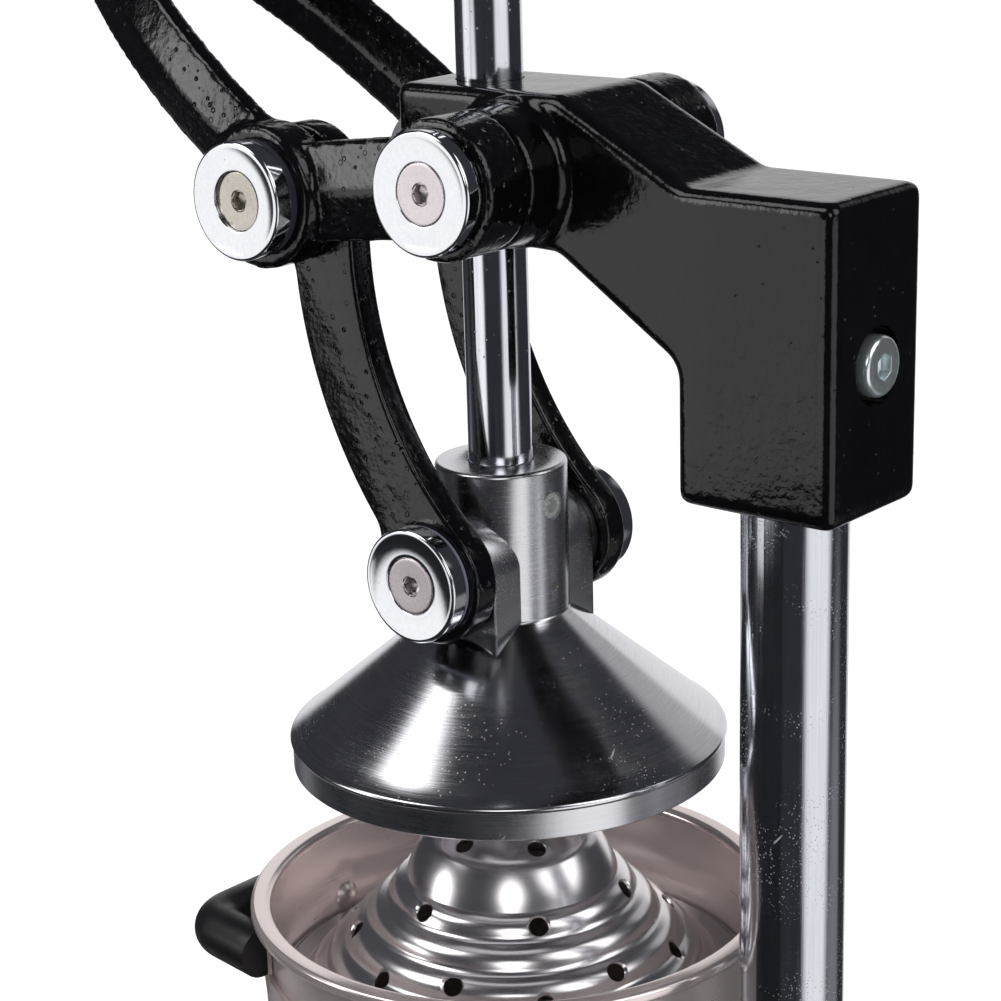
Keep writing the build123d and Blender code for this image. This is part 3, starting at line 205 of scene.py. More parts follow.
class MaterialGraph(Graph):
    """Graph of one material round a Principled shader, with patterns on Object coordinates."""

    def __init__(self, name: str) -> None:
        """Start a material.

        Args:
            name: Name of the material.
        """
        super().__init__(bpy.data.materials.new(name))
        shader = self.add("ShaderNodeBsdfPrincipled")
        self.inputs = shader.inputs
        self.feed(self.add("ShaderNodeOutputMaterial").inputs["Surface"], shader.outputs[0])

    def set(self, name: str, source: Socket | float | Sequence[float]) -> None:
        """Feed one input of the shader."""
        self.feed(self.inputs[name], source)

    def place(self, centre: Point = (0, 0, 0), turn: Point = (0, 0, 0), scale: Point = (1, 1, 1)) -> Socket:
        """Object coordinates measured from a centre, then turned and scaled.

        Args:
            centre: Point of the frame that becomes the origin, in metres.
            turn: Turn about X, Y and Z, in degrees.
            scale: Scale along each axis after the turn.

        Returns:
            The vector socket.
        """
        shift = self.add("ShaderNodeVectorMath", operation="SUBTRACT")
        self.feed(shift.inputs[0], self.add("ShaderNodeTexCoord").outputs["Object"])
        self.feed(shift.inputs[1], centre)
        mapping = self.add("ShaderNodeMapping", vector_type="POINT")
        self.feed(mapping.inputs["Vector"], shift.outputs[0])
        self.feed(mapping.inputs["Rotation"], [math.radians(a) for a in turn])
        stretch = self.add("ShaderNodeVectorMath", operation="MULTIPLY")
        self.feed(stretch.inputs[0], mapping.outputs[0])
        self.feed(stretch.inputs[1], scale)
        return stretch.outputs[0]

    def parts(self, vector: Socket) -> Sequence[Socket]:
        """Split a vector.

        Args:
            vector: The vector.

        Returns:
            Its x, y and z.
        """
        node = self.add("ShaderNodeSeparateXYZ")
        self.feed(node.inputs[0], vector)
        return node.outputs

    def turned(self, axis_point: Point, across: float, round_about: float) -> Socket:
        """Coordinates that run round a vertical axis, for turning marks.

        Args:
            axis_point: Point on the axis, in metres.
            across: Scale across the marks.
            round_about: Scale along the marks.

        Returns:
            A vector of radius and height across the marks and of angle along them.
        """
        x, y, z = self.parts(self.place(axis_point))
        radius = self.math("SQRT", self.math("ADD", self.math("MULTIPLY", x, x), self.math("MULTIPLY", y, y)))
        angle = self.math("ARCTAN2", y, x)
        joined = self.add("ShaderNodeCombineXYZ")
        for socket, number, scale in zip(joined.inputs, (radius, z, angle), (across, across, round_about)):
            self.feed(socket, self.math("MULTIPLY", number, scale))
        return joined.outputs[0]

    def noise(self, vector: Socket, scale: float, detail: float = 2.0, rough: float = 0.5) -> Socket:
        """Add soft noise.

        Args:
            vector: Coordinates.
            scale: Swells per metre.
            detail: Number of finer layers.
            rough: Share of the finer layers.

        Returns:
            A number between 0 and 1.
        """
        node = self.add("ShaderNodeTexNoise")
        for name, source in (("Vector", vector), ("Scale", scale), ("Detail", detail), ("Roughness", rough)):
            self.feed(node.inputs[name], source)
        return node.outputs["Fac"]

    def cells(self, vector: Socket, scale: float) -> Socket:
        """Measure to the nearest of scattered points.

        Args:
            vector: Coordinates.
            scale: Points per metre.

        Returns:
            The distance, in cell sizes.
        """
        node = self.add("ShaderNodeTexVoronoi", feature="F1")
        self.feed(node.inputs["Vector"], vector)
        self.feed(node.inputs["Scale"], scale)
        return node.outputs["Distance"]

    def blend(self, factor: Socket, first: Point, second: Point) -> Socket:
        """Mix two colours.

        Args:
            factor: Share of the second.
            first: Linear colour at 0.
            second: Linear colour at 1.

        Returns:
            The colour.
        """
        node = self.add("ShaderNodeMix", data_type="RGBA")
        colours = [socket for socket in node.inputs if socket.type == "RGBA"]
        self.feed(node.inputs[0], factor)
        self.feed(colours[0], rgb(*first))
        self.feed(colours[1], rgb(*second))
        return next(socket for socket in node.outputs if socket.type == "RGBA")

    def between(self, low: float, high: float, soft: float = 0.0002) -> Socket:
        """Mark the band between two heights of the frame.

        Args:
            low: Lower height, in metres.
            high: Upper height.
            soft: Half of the width over which the mark fades.

        Returns:
            A mask, 1 in the band and 0 outside it.
        """
        height = self.parts(self.place())[2]
        return self.math("MULTIPLY", self.remap(height, low - soft, low + soft),
                         self.remap(height, high - soft, high + soft, 1.0, 0.0))

    def bump(self, height: Socket, depth: float, strength: float = 1.0,
             under: Socket | None = None) -> Socket:
        """Bump of a height between 0 and 1.

        Args:
            height: Height socket.
            depth: Height of a full step, in metres.
            strength: Share of the effect.
            under: Normal of a coarser bump below this one.

        Returns:
            The normal socket.
        """
        node = self.add("ShaderNodeBump")
        for name, source in (("Height", height), ("Distance", depth), ("Strength", strength)):
            self.feed(node.inputs[name], source)
        if under is not None:
            self.feed(node.inputs["Normal"], under)
        return node.outputs[0]

    def dents(self, mask: Socket, depth: float, strength: float, under: Socket) -> Socket:
        """Bump that sinks where a mask is 1."""
        return self.bump(self.math("SUBTRACT", 1.0, mask), depth, strength, under)

    def specks(self, scale: float, size: float, stretch: Point = (1, 1, 1),
               turn: Point = (0, 0, 0)) -> Socket:
        """Scatter small marks.

        Args:
            scale: Marks per metre along an unstretched axis.
            size: Radius of a mark, in cell sizes.
            stretch: Scale along each axis, where a small number makes a long mark.
            turn: Turn of the pattern, in degrees.

        Returns:
            A mask, 1 on a mark and 0 beside it.
        """
        return self.remap(self.cells(self.place(turn=turn, scale=stretch), scale), size, size * 0.7)


# ---- finishes -------------------------------------------------------------------------------
@dataclass(frozen=True)
class CastPaint:
    """Black gloss enamel over a cast surface: peel, swells and pits in patches."""

    name: str
    slot: str = "black_paint"
    dark: Point = (0.0016, 0.0017, 0.0021)
    light: Point = (0.0038, 0.0038, 0.0043)
    gloss: float = 0.13
    dulling: float = 0.11
    ior: float = 1.52
    peel: float = 0.00006
    swell: float = 3.2
    pit_depth: float = 0.00025
    pit_share: float = 0.16
    pit_scale: float = 260.0

    def material(self) -> bpy.types.Material:
        """Build the finish.

        Returns:
            The material.
        """
        graph = MaterialGraph(self.name)
        here = graph.place()
        cloud = graph.remap(graph.noise(here, scale=38.0, detail=4.0, rough=0.6), 0.35, 0.7)
        graph.set("Base Color", graph.blend(cloud, self.dark, self.light))
        haze = graph.noise(here, scale=420.0, detail=3.0)
        graph.set("Roughness", graph.remap(haze, 0.3, 0.75, self.gloss, self.gloss + self.dulling))
        graph.set("IOR", self.ior)
        swells = graph.bump(graph.noise(here, scale=120.0), self.peel * self.swell)
        peel = graph.bump(graph.noise(here, scale=640.0, rough=0.45), self.peel, under=swells)
        pits = graph.remap(graph.cells(here, self.pit_scale), 0.0, self.pit_share)
        patches = graph.remap(graph.noise(here, scale=30.0), 0.42, 0.62)
        smooth_skin = graph.math("MAXIMUM", pits, graph.math("SUBTRACT", 1.0, patches))
        graph.set("Normal", graph.bump(smooth_skin, self.pit_depth, under=peel))
        return graph.owner


@dataclass(frozen=True)
class Metal:
    """Bare or plated metal with fine marks in one lay, specks and short scratches."""

    name: str
    slot: str
    light: Point
    dark: Point
    rough: Flat
    lay: Lay = Lay.RANDOM
    axis_point: Point = (0.0, 0.0, 0.0)
    mark_scale: float = 1800.0
    mark_depth: float = 0.000006
    mark_tone: float = 0.6
    speck_share: float = 0.16
    speck_scale: float = 330.0
    speck_lift: float = 0.22
    dent_depth: float = 0.00003
    anisotropy: float = 0.0
    metallic: float = 1.0
    dust: float = 0.0
    zones: tuple[Point, ...] = ()

    def marks(self, graph: MaterialGraph) -> Socket:
        """Height of the fine marks.

        Args:
            graph: Graph of the material.

        Returns:
            The height socket.
        """
        if self.lay is Lay.TURNED:
            rings = graph.turned(self.axis_point, across=self.mark_scale, round_about=3.0)
            return graph.noise(rings, scale=1.0, detail=3.0, rough=0.65)
        if self.lay is Lay.DRAWN:
            lines = graph.place(self.axis_point, scale=(1.0, 1.0, 0.02))
            return graph.noise(lines, self.mark_scale, detail=3.0)
        return graph.noise(graph.place(), self.mark_scale * 0.5, detail=3.0)

    def marred(self, graph: MaterialGraph) -> Socket:
        """Specks and scratches where the surface is worn.

        Args:
            graph: Graph of the material.

        Returns:
            A mask, 1 on a mark and 0 beside it.
        """
        specks = graph.specks(self.speck_scale, self.speck_share)
        scratches = graph.math(
            "MAXIMUM", graph.specks(scale=190.0, size=0.05, stretch=(1.0, 0.12, 0.12), turn=(20, 35, 50)),
            graph.specks(scale=230.0, size=0.045, stretch=(0.12, 0.12, 1.0), turn=(50, -20, 15)))
        worn = graph.remap(graph.noise(graph.place(), scale=48.0), 0.45, 0.6)
        return graph.math("MULTIPLY", graph.math("MAXIMUM", specks, scratches), worn)

    def material(self) -> bpy.types.Material:
        """Build the finish.

        Returns:
            The material.
        """
        graph = MaterialGraph(self.name)
        marks, marred = self.marks(graph), self.marred(graph)
        cloud = graph.noise(graph.place(), scale=55.0, detail=4.0, rough=0.6)
        tone = graph.math("ADD", graph.math("MULTIPLY", marks, self.mark_tone),
                         graph.math("MULTIPLY", cloud, 1.0 - self.mark_tone))
        graph.set("Base Color", graph.blend(graph.remap(tone, 0.35, 0.65), self.dark, self.light))
        dusty = graph.math("SUBTRACT", self.metallic, graph.math("MULTIPLY", marred, self.dust))
        graph.set("Metallic", dusty if self.dust else self.metallic)
        even = graph.math("MULTIPLY", graph.math("ADD", marks, cloud), 0.5)
        rough = graph.math("ADD", graph.remap(even, 0.3, 0.7, *self.rough),
                          graph.math("MULTIPLY", marred, self.speck_lift))
        for low, high, extra in self.zones:
            rough = graph.math("ADD", rough, graph.math("MULTIPLY", graph.between(low, high), extra))
        graph.set("Roughness", rough)
        graph.set("Anisotropic", self.anisotropy)
        if self.anisotropy:
            graph.set("Tangent", graph.add("ShaderNodeTangent", direction_type="RADIAL", axis="Z").outputs[0])
        graph.set("Normal", graph.dents(marred, self.dent_depth, 0.6, graph.bump(marks, self.mark_depth)))
        return graph.owner


@dataclass(frozen=True)
class Moulded:
    """Moulded polymer: a fine grain, faint flow marks and scuffs."""

    name: str
    slot: str
    dark: Point
    light: Point
    rough: Flat
    grain_scale: float = 1500.0
    grain_depth: float = 0.00002
    flow_depth: float = 0.0001
    scuff_depth: float = 0.00004

    def material(self) -> bpy.types.Material:
        """Build the finish.

        Returns:
            The material.
        """
        graph = MaterialGraph(self.name)
        here = graph.place()
        cloud = graph.noise(here, scale=60.0, detail=4.0, rough=0.6)
        graph.set("Base Color", graph.blend(graph.remap(cloud, 0.3, 0.7), self.dark, self.light))
        graph.set("Roughness", graph.remap(graph.noise(here, scale=170.0, detail=3.0), 0.3, 0.7, *self.rough))
        flow = graph.bump(cloud, self.flow_depth)
        grain = graph.bump(graph.noise(here, self.grain_scale), self.grain_depth, under=flow)
        scuffs = graph.specks(scale=300.0, size=0.07, stretch=(1.0, 0.2, 1.0), turn=(10, 30, 60))
        graph.set("Normal", graph.dents(scuffs, self.scuff_depth, 0.5, grain))
        return graph.owner


Coating = CastPaint | Metal | Moulded


# ---- places of the frame --------------------------------------------------------------------
def middle(node: str) -> Vector:
    """Centre of a CAD node's box."""
    low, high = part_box(node)
    return (Vector(low) + Vector(high)) / 2


PRESS_AXIS = tuple(middle("press_rod"))
COLUMN_AXIS = tuple(middle("column"))


def at(x: float, y: float, z: float) -> Point:
    """Point of the frame from millimetres, with y measured from the press axis."""
    return (x * MM, PRESS_AXIS[1] + y * MM, z * MM)


def pivot(node: str) -> Flat:
    """The y from the press axis and the z of a pair of pivot pieces, in millimetres."""
    centre = middle(node)
    return (centre.y - PRESS_AXIS[1]) / MM, centre.z / MM


def outer_x(node: str) -> float:
    """Outer face of a pair of pieces, in millimetres from the middle plane."""
    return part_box(node)[1][0] / MM


# ---- workshop: places are points of the frame, in metres, and sizes are in millimetres ------
# Distances below which vertices are one, and the cosine from which a face faces a direction.
WELD = 0.005
OUTLINE_WELD = 0.001
FINE_WELD = 0.0005
FACING = 0.99


def only(piece: Mesh) -> None:
    """Select one object alone and make it the active one.

    Args:
        piece: The object.
    """
    if bpy.context.object and bpy.context.object.mode != "OBJECT":
        bpy.ops.object.mode_set(mode="OBJECT")
    bpy.ops.object.select_all(action="DESELECT")
    piece.select_set(True)
    bpy.context.view_layer.objects.active = piece


def settle(piece: Mesh, name: str) -> Mesh:
    """Name a new piece and apply its place, so that its mesh holds it.

    Args:
        piece: The object.
        name: Its new name.

    Returns:
        The same object.
    """
    only(piece)
    bpy.ops.object.transform_apply(location=True, rotation=True, scale=True)
    piece.name = name
    piece.data.name = name
    return piece


def primitive(name: str, add: Callable[..., object], **settings: object) -> Mesh:
    """Add a primitive with nothing else selected.

    Args:
        name: Name of the piece.
        add: Operator that adds it.
        settings: What the operator is given.

    Returns:
        The new object.
    """
    bpy.ops.object.select_all(action="DESELECT")
    add(**settings)
    return settle(bpy.context.object, name)


def cylinder(name: str, radius: float, start: Point, length: float, axis: Axis = Axis.Z,
             sides: int = 96) -> Mesh:
    """Add a cylinder whose low end is centred on a point.

    Args:
        name: Name of the piece.
        radius: Its radius.
        start: Centre of the low end.
        length: Length along the axis.
        axis: The axis it lies along.
        sides: Number of sides.

    Returns:
        The new object.
    """
    reach = length * MM
    return primitive(name, bpy.ops.mesh.primitive_cylinder_add, vertices=sides, radius=radius * MM,
                     depth=reach, location=Vector(start) + axis.line() * reach / 2, rotation=axis.value)


def rod(name: str, radius: float, centre: Point, along: Vector, length: float, sides: int) -> Mesh:
    """Add a cylinder that lies along any direction.

    Args:
        name: Name of the piece.
        radius: Its radius.
        centre: Its middle.
        along: Unit vector along it.
        length: Its length.
        sides: Number of sides.

    Returns:
        The new object.
    """
    return primitive(name, bpy.ops.mesh.primitive_cylinder_add, vertices=sides, radius=radius * MM,
                     depth=length * MM, location=centre, rotation=along.to_track_quat("Z", "Y").to_euler())


def hexagon(name: str, across_flats: float, start: Point, length: float, axis: Axis) -> Mesh:
    """Hexagonal prism for a socket, from the centre of its low end."""
    return cylinder(name, across_flats / math.sqrt(3), start, length, axis, sides=6)


def block(name: str, low: Point, high: Point) -> Mesh:
    """Box between two corners."""
    middle = [(a + b) / 2 for a, b in zip(low, high)]
    return primitive(name, bpy.ops.mesh.primitive_cube_add, size=1.0, location=middle,
                     scale=[b - a for a, b in zip(low, high)])


def pick(piece: Mesh, kind: Element, wanted: Callable[[object], bool]) -> None:
    """Enter edit mode with only the wanted elements selected.

    Args:
        piece: The object.
        kind: Edges or faces.
        wanted: Test of an edge's two ends, or of a polygon.
    """
    only(piece)
    bpy.ops.object.mode_set(mode="EDIT")
    bpy.ops.mesh.select_mode(type=kind.value)
    bpy.ops.mesh.select_all(action="DESELECT")
    bpy.ops.object.mode_set(mode="OBJECT")
    mesh = piece.data
    if kind is Element.EDGE:
        for edge in mesh.edges:
            edge.select = wanted([mesh.vertices[i].co for i in edge.vertices])
    else:
        for polygon in mesh.polygons:
            polygon.select = wanted(polygon)
    bpy.ops.object.mode_set(mode="EDIT")


def done() -> None:
    """Leave edit mode."""
    bpy.ops.object.mode_set(mode="OBJECT")


def extrude(step: Point | Vector) -> None:
    """Extrude what is selected by a step in metres."""
    bpy.ops.mesh.extrude_region_move(TRANSFORM_OT_translate={"value": step})


def round_off(width: float, segments: int) -> None:
    """Bevel the selected edges and leave edit mode."""
    bpy.ops.mesh.bevel(offset=width * MM, segments=segments, affect="EDGES")
    done()


def round_rims(piece: Mesh, wanted: Callable[[object], bool], width: float, segments: int) -> None:
    """Round the rims of the wanted faces.

    Args:
        piece: The object.
        wanted: Test of a polygon.
        width: Width of the rounding.
        segments: Steps of the rounding.
    """
    pick(piece, Element.FACE, wanted)
    bpy.ops.mesh.region_to_loop()
    round_off(width, segments)


def tidy_normals(piece: Mesh, merge: float = WELD) -> None:
    """Merge doubles and turn every face outwards.

    Args:
        piece: The object.
        merge: Distance below which vertices are one.
    """
    only(piece)
    bpy.ops.object.mode_set(mode="EDIT")
    bpy.ops.mesh.select_all(action="SELECT")
    bpy.ops.mesh.remove_doubles(threshold=merge * MM)
    bpy.ops.mesh.normals_make_consistent(inside=False)
    done()


def modifier(piece: Mesh, kind: str, **settings: object) -> None:
    """Add a modifier, set it and apply it.

    Args:
        piece: The object.
        kind: Type of the modifier.
        settings: Its properties.
    """
    only(piece)
    bpy.ops.object.modifier_add(type=kind)
    added = piece.modifiers[-1]
    for key, value in settings.items():
        setattr(added, key, value)
    bpy.ops.object.modifier_apply(modifier=added.name)


def soften(piece: Mesh, width: float, angle: float, segments: int) -> None:
    """Round all edges sharper than an angle in degrees."""
    modifier(piece, "BEVEL", width=width * MM, segments=segments, limit_method="ANGLE",
             angle_limit=math.radians(angle), use_clamp_overlap=True, harden_normals=False)


def cut(piece: Mesh, tool: Mesh, how: Combine = Combine.CUT) -> None:
    """Combine a piece with a tool body, which is used up."""
    modifier(piece, "BOOLEAN", object=tool, operation=how.value, solver="EXACT")
    bpy.data.objects.remove(tool, do_unlink=True)


def join(name: str, pieces: Sequence[Mesh]) -> Mesh:
    """Join objects into one mesh.

    Args:
        name: Name of the result.
        pieces: The objects, which are used up.

    Returns:
        The joined object.
    """
    only(pieces[0])
    for piece in pieces[1:]:
        piece.select_set(True)
    bpy.ops.object.join()
    return settle(bpy.context.object, name)


def bore(piece: Mesh, *holes: Mesh) -> None:
    """Cut holes with a set of tools, which are used up."""
    cut(piece, join("tool", holes) if len(holes) > 1 else holes[0])


def cast(name: str, parts: Sequence[Mesh], grain: float, passes: int) -> Mesh:
    """Fuse overlapping forms into one casting with soft edges and filled corners.

    Args:
        name: Name of the casting.
        parts: The forms, which are used up.
        grain: Size of the new mesh's faces.
        passes: Smoothing passes.

    Returns:
        The casting.
    """
    piece = join(name, parts)
    modifier(piece, "REMESH", mode="VOXEL", voxel_size=grain * MM, adaptivity=0.0)
    modifier(piece, "SMOOTH", factor=0.5, iterations=passes)
    return piece


def smooth(piece: Mesh, angle: float) -> Mesh:
    """Shade smooth, except over sharp edges.

    Args:
        piece: The object.
        angle: Angle from which an edge is sharp, in degrees.

    Returns:
        The same object.
    """
    only(piece)
    bpy.ops.object.shade_smooth_by_angle(angle=math.radians(angle))
    return piece


def mirrored(piece: Mesh, name: str) -> Mesh:
    """Copy a piece, with its own mesh, to the other side of the plane x = 0.

    Args:
        piece: The object.
        name: Name of the copy.

    Returns:
        The copy.
    """
    only(piece)
    bpy.ops.object.duplicate(linked=False)
    twin = settle(bpy.context.object, name)
    bpy.ops.transform.mirror(orient_type="GLOBAL", constraint_axis=(True, False, False),
                             center_override=(0.0, 0.0, 0.0))
    tidy_normals(settle(twin, name))
    return twin


def paired(name: str, right: Mesh, angle: float) -> Mesh:
    """Join a piece with its mirror image and shade both smooth."""
    return smooth(join(name, [right, mirrored(right, "left")]), angle)


def arc(centre: Flat, radius: float, start: float, end: float, steps: int) -> list[Flat]:
    """Points of an arc in an outline, from one angle to another in degrees."""
    turns = [math.radians(start + (end - start) * i / steps) for i in range(steps + 1)]
    return [(centre[0] + radius * math.cos(t), centre[1] + radius * math.sin(t)) for t in turns]


def rounded(corner: Flat, radius: float, start: float, end: float, steps: int) -> list[Flat]:
    """Round a square corner of an outline.

    Args:
        corner: Where its two lines would meet.
        radius: Radius of the rounding.
        start: Angle at which the quarter turn starts, in degrees.
        end: Angle at which it ends.
        steps: Number of its steps.

    Returns:
        The points of the quarter turn.
    """
    turns = math.radians(start), math.radians(end)
    centre = (corner[0] - radius * sum(math.cos(t) for t in turns),
              corner[1] - radius * sum(math.sin(t) for t in turns))
    return arc(centre, radius, start, end, steps)


def bow(start: Flat, end: Flat, rise: float, steps: int) -> list[Flat]:
    """Draw a shallow arc in an outline.

    Args:
        start: Where it starts, which isn't among its points.
        end: Where it ends.
        rise: How far its middle stands off the chord.
        steps: Number of its points.

    Returns:
        The points after the start.
    """
    (r0, z0), (r1, z1) = start, end
    chord = math.hypot(r1 - r0, z1 - z0)
    out_r, out_z = (z0 - z1) / chord, (r1 - r0) / chord
    points = []
    for i in range(1, steps + 1):
        share = i / steps
        lift = 4 * share * (1 - share) * rise
        points.append((r0 + (r1 - r0) * share + out_r * lift, z0 + (z1 - z0) * share + out_z * lift))
    return points


def drawn(name: str, points: Sequence[Vector]) -> Mesh:
    """Draw a closed outline from one vertex by extrusion.

    Args:
        name: Name of the piece.
        points: Its corners.

    Returns:
        The new object, in edit mode and selected all over.
    """
    piece = primitive(name, bpy.ops.mesh.primitive_plane_add, size=MM, location=points[0])
    bpy.ops.object.mode_set(mode="EDIT")
    bpy.ops.mesh.select_mode(type="VERT")
    bpy.ops.mesh.select_all(action="SELECT")
    bpy.ops.mesh.merge(type="CENTER")
    for before, after in zip(points, [*points[1:], points[0]]):
        extrude(after - before)
    bpy.ops.mesh.select_all(action="SELECT")
    return piece


def lathe(name: str, outline: Sequence[Flat], centre: Point, axis: Axis = Axis.Z, steps: int = 128) -> Mesh:
    """Spin a closed outline full round an axis.

    Args:
        name: Name of the piece.
        outline: Corners as (radius, place along the axis).
        centre: Point on the axis.
        axis: X or Z.
        steps: Steps of the turn.

    Returns:
        The new object.
    """
    corners = [(along * MM, 0.0, radius * MM) if axis is Axis.X else (radius * MM, 0.0, along * MM)
               for radius, along in outline]
    piece = drawn(name, [Vector(centre) + Vector(corner) for corner in corners])
    bpy.ops.mesh.spin(steps=steps, angle=math.tau, center=centre, axis=axis.line())
    done()
    tidy_normals(piece)
    return piece


def filled(name: str, points: Sequence[Point]) -> Mesh:
    """Draw a closed outline and fill it.

    Args:
        name: Name of the piece.
        points: Its corners.

    Returns:
        The new object, in edit mode with its face selected.
    """
    piece = drawn(name, [Vector(point) for point in points])
    bpy.ops.mesh.remove_doubles(threshold=OUTLINE_WELD * MM)
    bpy.ops.mesh.edge_face_add()
    return piece


def prism(name: str, outline: Sequence[Flat], low: float, high: float, axis: Axis = Axis.X) -> Mesh:
    """Fill a closed outline and extrude it.

    Args:
        name: Name of the piece.
        outline: Corners as (y, z) for an X prism and (x, y) for a Z prism.
        low: Where the prism starts along its axis.
        high: Where it ends.
        axis: X or Z.

    Returns:
        The new object.
    """
    piece = filled(name, [at(low, a, b) if axis is Axis.X else at(a, b, low) for a, b in outline])
    extrude(axis.line() * ((high - low) * MM))
    done()
    tidy_normals(piece, FINE_WELD)
    return piece


def sector(name: str, outline: Sequence[Flat], middle_deg: float, sweep_deg: float, steps: int) -> Mesh:
    """Fill a closed outline and turn it part of the way round the press axis.

    Args:
        name: Name of the piece.
        outline: Corners as (radius, z).
        middle_deg: Direction of the sector's middle, from +X towards +Y.
        sweep_deg: Angle that it covers.
        steps: Steps of the turn.

    Returns:
        The new object.
    """
    piece = filled(name, [at(radius, 0, z) for radius, z in outline])
    bpy.ops.mesh.spin(steps=steps, angle=-math.radians(sweep_deg), center=at(0, 0, 0), axis=Axis.Z.line())
    done()
    tidy_normals(piece, FINE_WELD)
    centre = Matrix.Translation(at(0, 0, 0))
    turn = Matrix.Rotation(math.radians(middle_deg - sweep_deg / 2), 4, "Z")
    piece.matrix_world = centre @ turn @ centre.inverted()
    return settle(piece, name)


# ---- dressing -------------------------------------------------------------------------------
MATERIALS: dict[str, bpy.types.Material] = {}


def material_of(finish: Coating) -> bpy.types.Material:
    """Look up a finish's material, which is built once.

    Args:
        finish: The finish.

    Returns:
        Its material.
    """
    if finish.name not in MATERIALS:
        MATERIALS[finish.name] = finish.material()
    return MATERIALS[finish.name]


def coat(piece: Mesh, material: bpy.types.Material) -> None:
    """Give a piece one material.

    Args:
        piece: The object.
        material: The material.
    """
    if not piece.material_slots:
        piece.data.materials.append(material)
    for slot in piece.material_slots:
        slot.material = material


def mount(piece: Mesh, body: Body, finish: Coating, node: str) -> None:
    """Finish a new piece, put it on its body and let it stand for its CAD node.

    Args:
        piece: The object.
        body: Body that it rides on.
        finish: Its finish.
        node: CAD node that it replaces.
    """
    coat(piece, material_of(finish))
    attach(piece, body.value)
    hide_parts(node)
    LOG.info("%s: %d faces on %s", piece.name, len(piece.data.polygons), body.value)


def dress(node: str, finish: Coating) -> None:
    """Give a CAD node its finish."""
    coat(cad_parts[node], material_of(finish))
    LOG.info("%s: finished as %s", node, finish.name)


# ---- finishes of this press -----------------------------------------------------------------
SHOULDER = middle("press_pivot_caps").z - 0.0160
BAND_TOP = middle("press_pivot_caps").z - 0.0521
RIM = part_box("bowl")[1][2]
OVER_ALL = 1.0

PAINT = CastPaint("enamel_head", gloss=0.06, pit_share=0.10, ior=1.46)
PITTED_PAINT = CastPaint("enamel_castings", peel=0.00009, pit_depth=0.0006, pit_share=0.24, pit_scale=300.0,
                         gloss=0.10)
CHROME_ROD = Metal(
    "chrome_rod", "chrome", light=(0.74, 0.75, 0.80), dark=(0.62, 0.63, 0.68), rough=(0.06, 0.16),
    lay=Lay.DRAWN, axis_point=PRESS_AXIS, speck_scale=420.0)
CHROME_COLUMN = Metal(
    "chrome_column", "chrome", light=(0.70, 0.71, 0.76), dark=(0.60, 0.61, 0.66), rough=(0.08, 0.20),
    lay=Lay.DRAWN, axis_point=COLUMN_AXIS, mark_depth=0.000012, speck_share=0.24, speck_scale=1100.0,
    speck_lift=0.4, dust=0.5)
CAP_CHROME = Metal(
    "chrome_caps", "chrome", light=(0.80, 0.81, 0.84), dark=(0.74, 0.75, 0.78), rough=(0.04, 0.10),
    mark_depth=0.000003, speck_share=0.08)
CLAMP_CHROME = Metal(
    "chrome_clamp", "chrome", light=(0.86, 0.93, 0.95), dark=(0.70, 0.78, 0.80), rough=(0.08, 0.30),
    metallic=0.85)
SCREW_STEEL = Metal(
    "screw_satin", "steel", light=(0.78, 0.72, 0.74), dark=(0.64, 0.58, 0.60), rough=(0.22, 0.36))
OILED_STEEL = Metal(
    "steel_oiled", "steel", light=(0.86, 0.90, 0.87), dark=(0.64, 0.68, 0.65), rough=(0.20, 0.34),
    metallic=0.5)
SOCKET_STEEL = Metal(
    "socket_steel", "steel", light=(0.66, 0.62, 0.56), dark=(0.50, 0.46, 0.40), rough=(0.22, 0.36))
DARK_STEEL = Metal(
    "dark_steel", "dark_steel", light=(0.20, 0.20, 0.21), dark=(0.12, 0.12, 0.13), rough=(0.28, 0.42))
BRONZE = Metal(
    "bronze_bush", "bronze", light=(0.62, 0.42, 0.20), dark=(0.45, 0.29, 0.13), rough=(0.22, 0.36))
ALUMINIUM = Metal(
    "aluminium_turned", "aluminium", light=(0.82, 0.82, 0.85), dark=(0.66, 0.66, 0.70), rough=(0.09, 0.20),
    lay=Lay.TURNED, axis_point=PRESS_AXIS, mark_scale=2200.0, mark_depth=0.000008, speck_share=0.14,
    speck_scale=800.0, anisotropy=0.35, dust=0.4,
    zones=((SHOULDER, OVER_ALL, 0.10), (BAND_TOP - 0.02, BAND_TOP - 0.0016, 0.14)))
STAINLESS = Metal(
    "stainless_spun", "stainless", light=(0.90, 0.80, 0.78), dark=(0.82, 0.72, 0.70), rough=(0.26, 0.34),
    lay=Lay.TURNED, axis_point=PRESS_AXIS, mark_scale=5200.0, mark_depth=0.000003, speck_share=0.05,
    speck_scale=200.0, speck_lift=0.1, anisotropy=0.5, metallic=0.72,
    zones=((RIM - 0.0025, OVER_ALL, -0.14),))
STRAINER_STEEL = Metal(
    "strainer_satin", "stainless", light=(0.93, 0.90, 0.91), dark=(0.84, 0.81, 0.82), rough=(0.17, 0.25),
    lay=Lay.TURNED, axis_point=PRESS_AXIS, mark_scale=5200.0, mark_depth=0.000002, speck_share=0.05,
    speck_scale=200.0, speck_lift=0.1, anisotropy=0.3, metallic=0.96)
NYLON = Moulded(
    "nylon_dark", "nylon", dark=(0.030, 0.030, 0.045), light=(0.042, 0.042, 0.06), rough=(0.30, 0.45))
NYLON_PALE = Moulded(
    "nylon_pale", "nylon", dark=(0.22, 0.22, 0.30), light=(0.28, 0.28, 0.37), rough=(0.30, 0.45))
PLASTIC = Moulded(
    "plastic_black", "black_plastic", dark=(0.007, 0.007, 0.008), light=(0.012, 0.012, 0.013),
    rough=(0.34, 0.52))
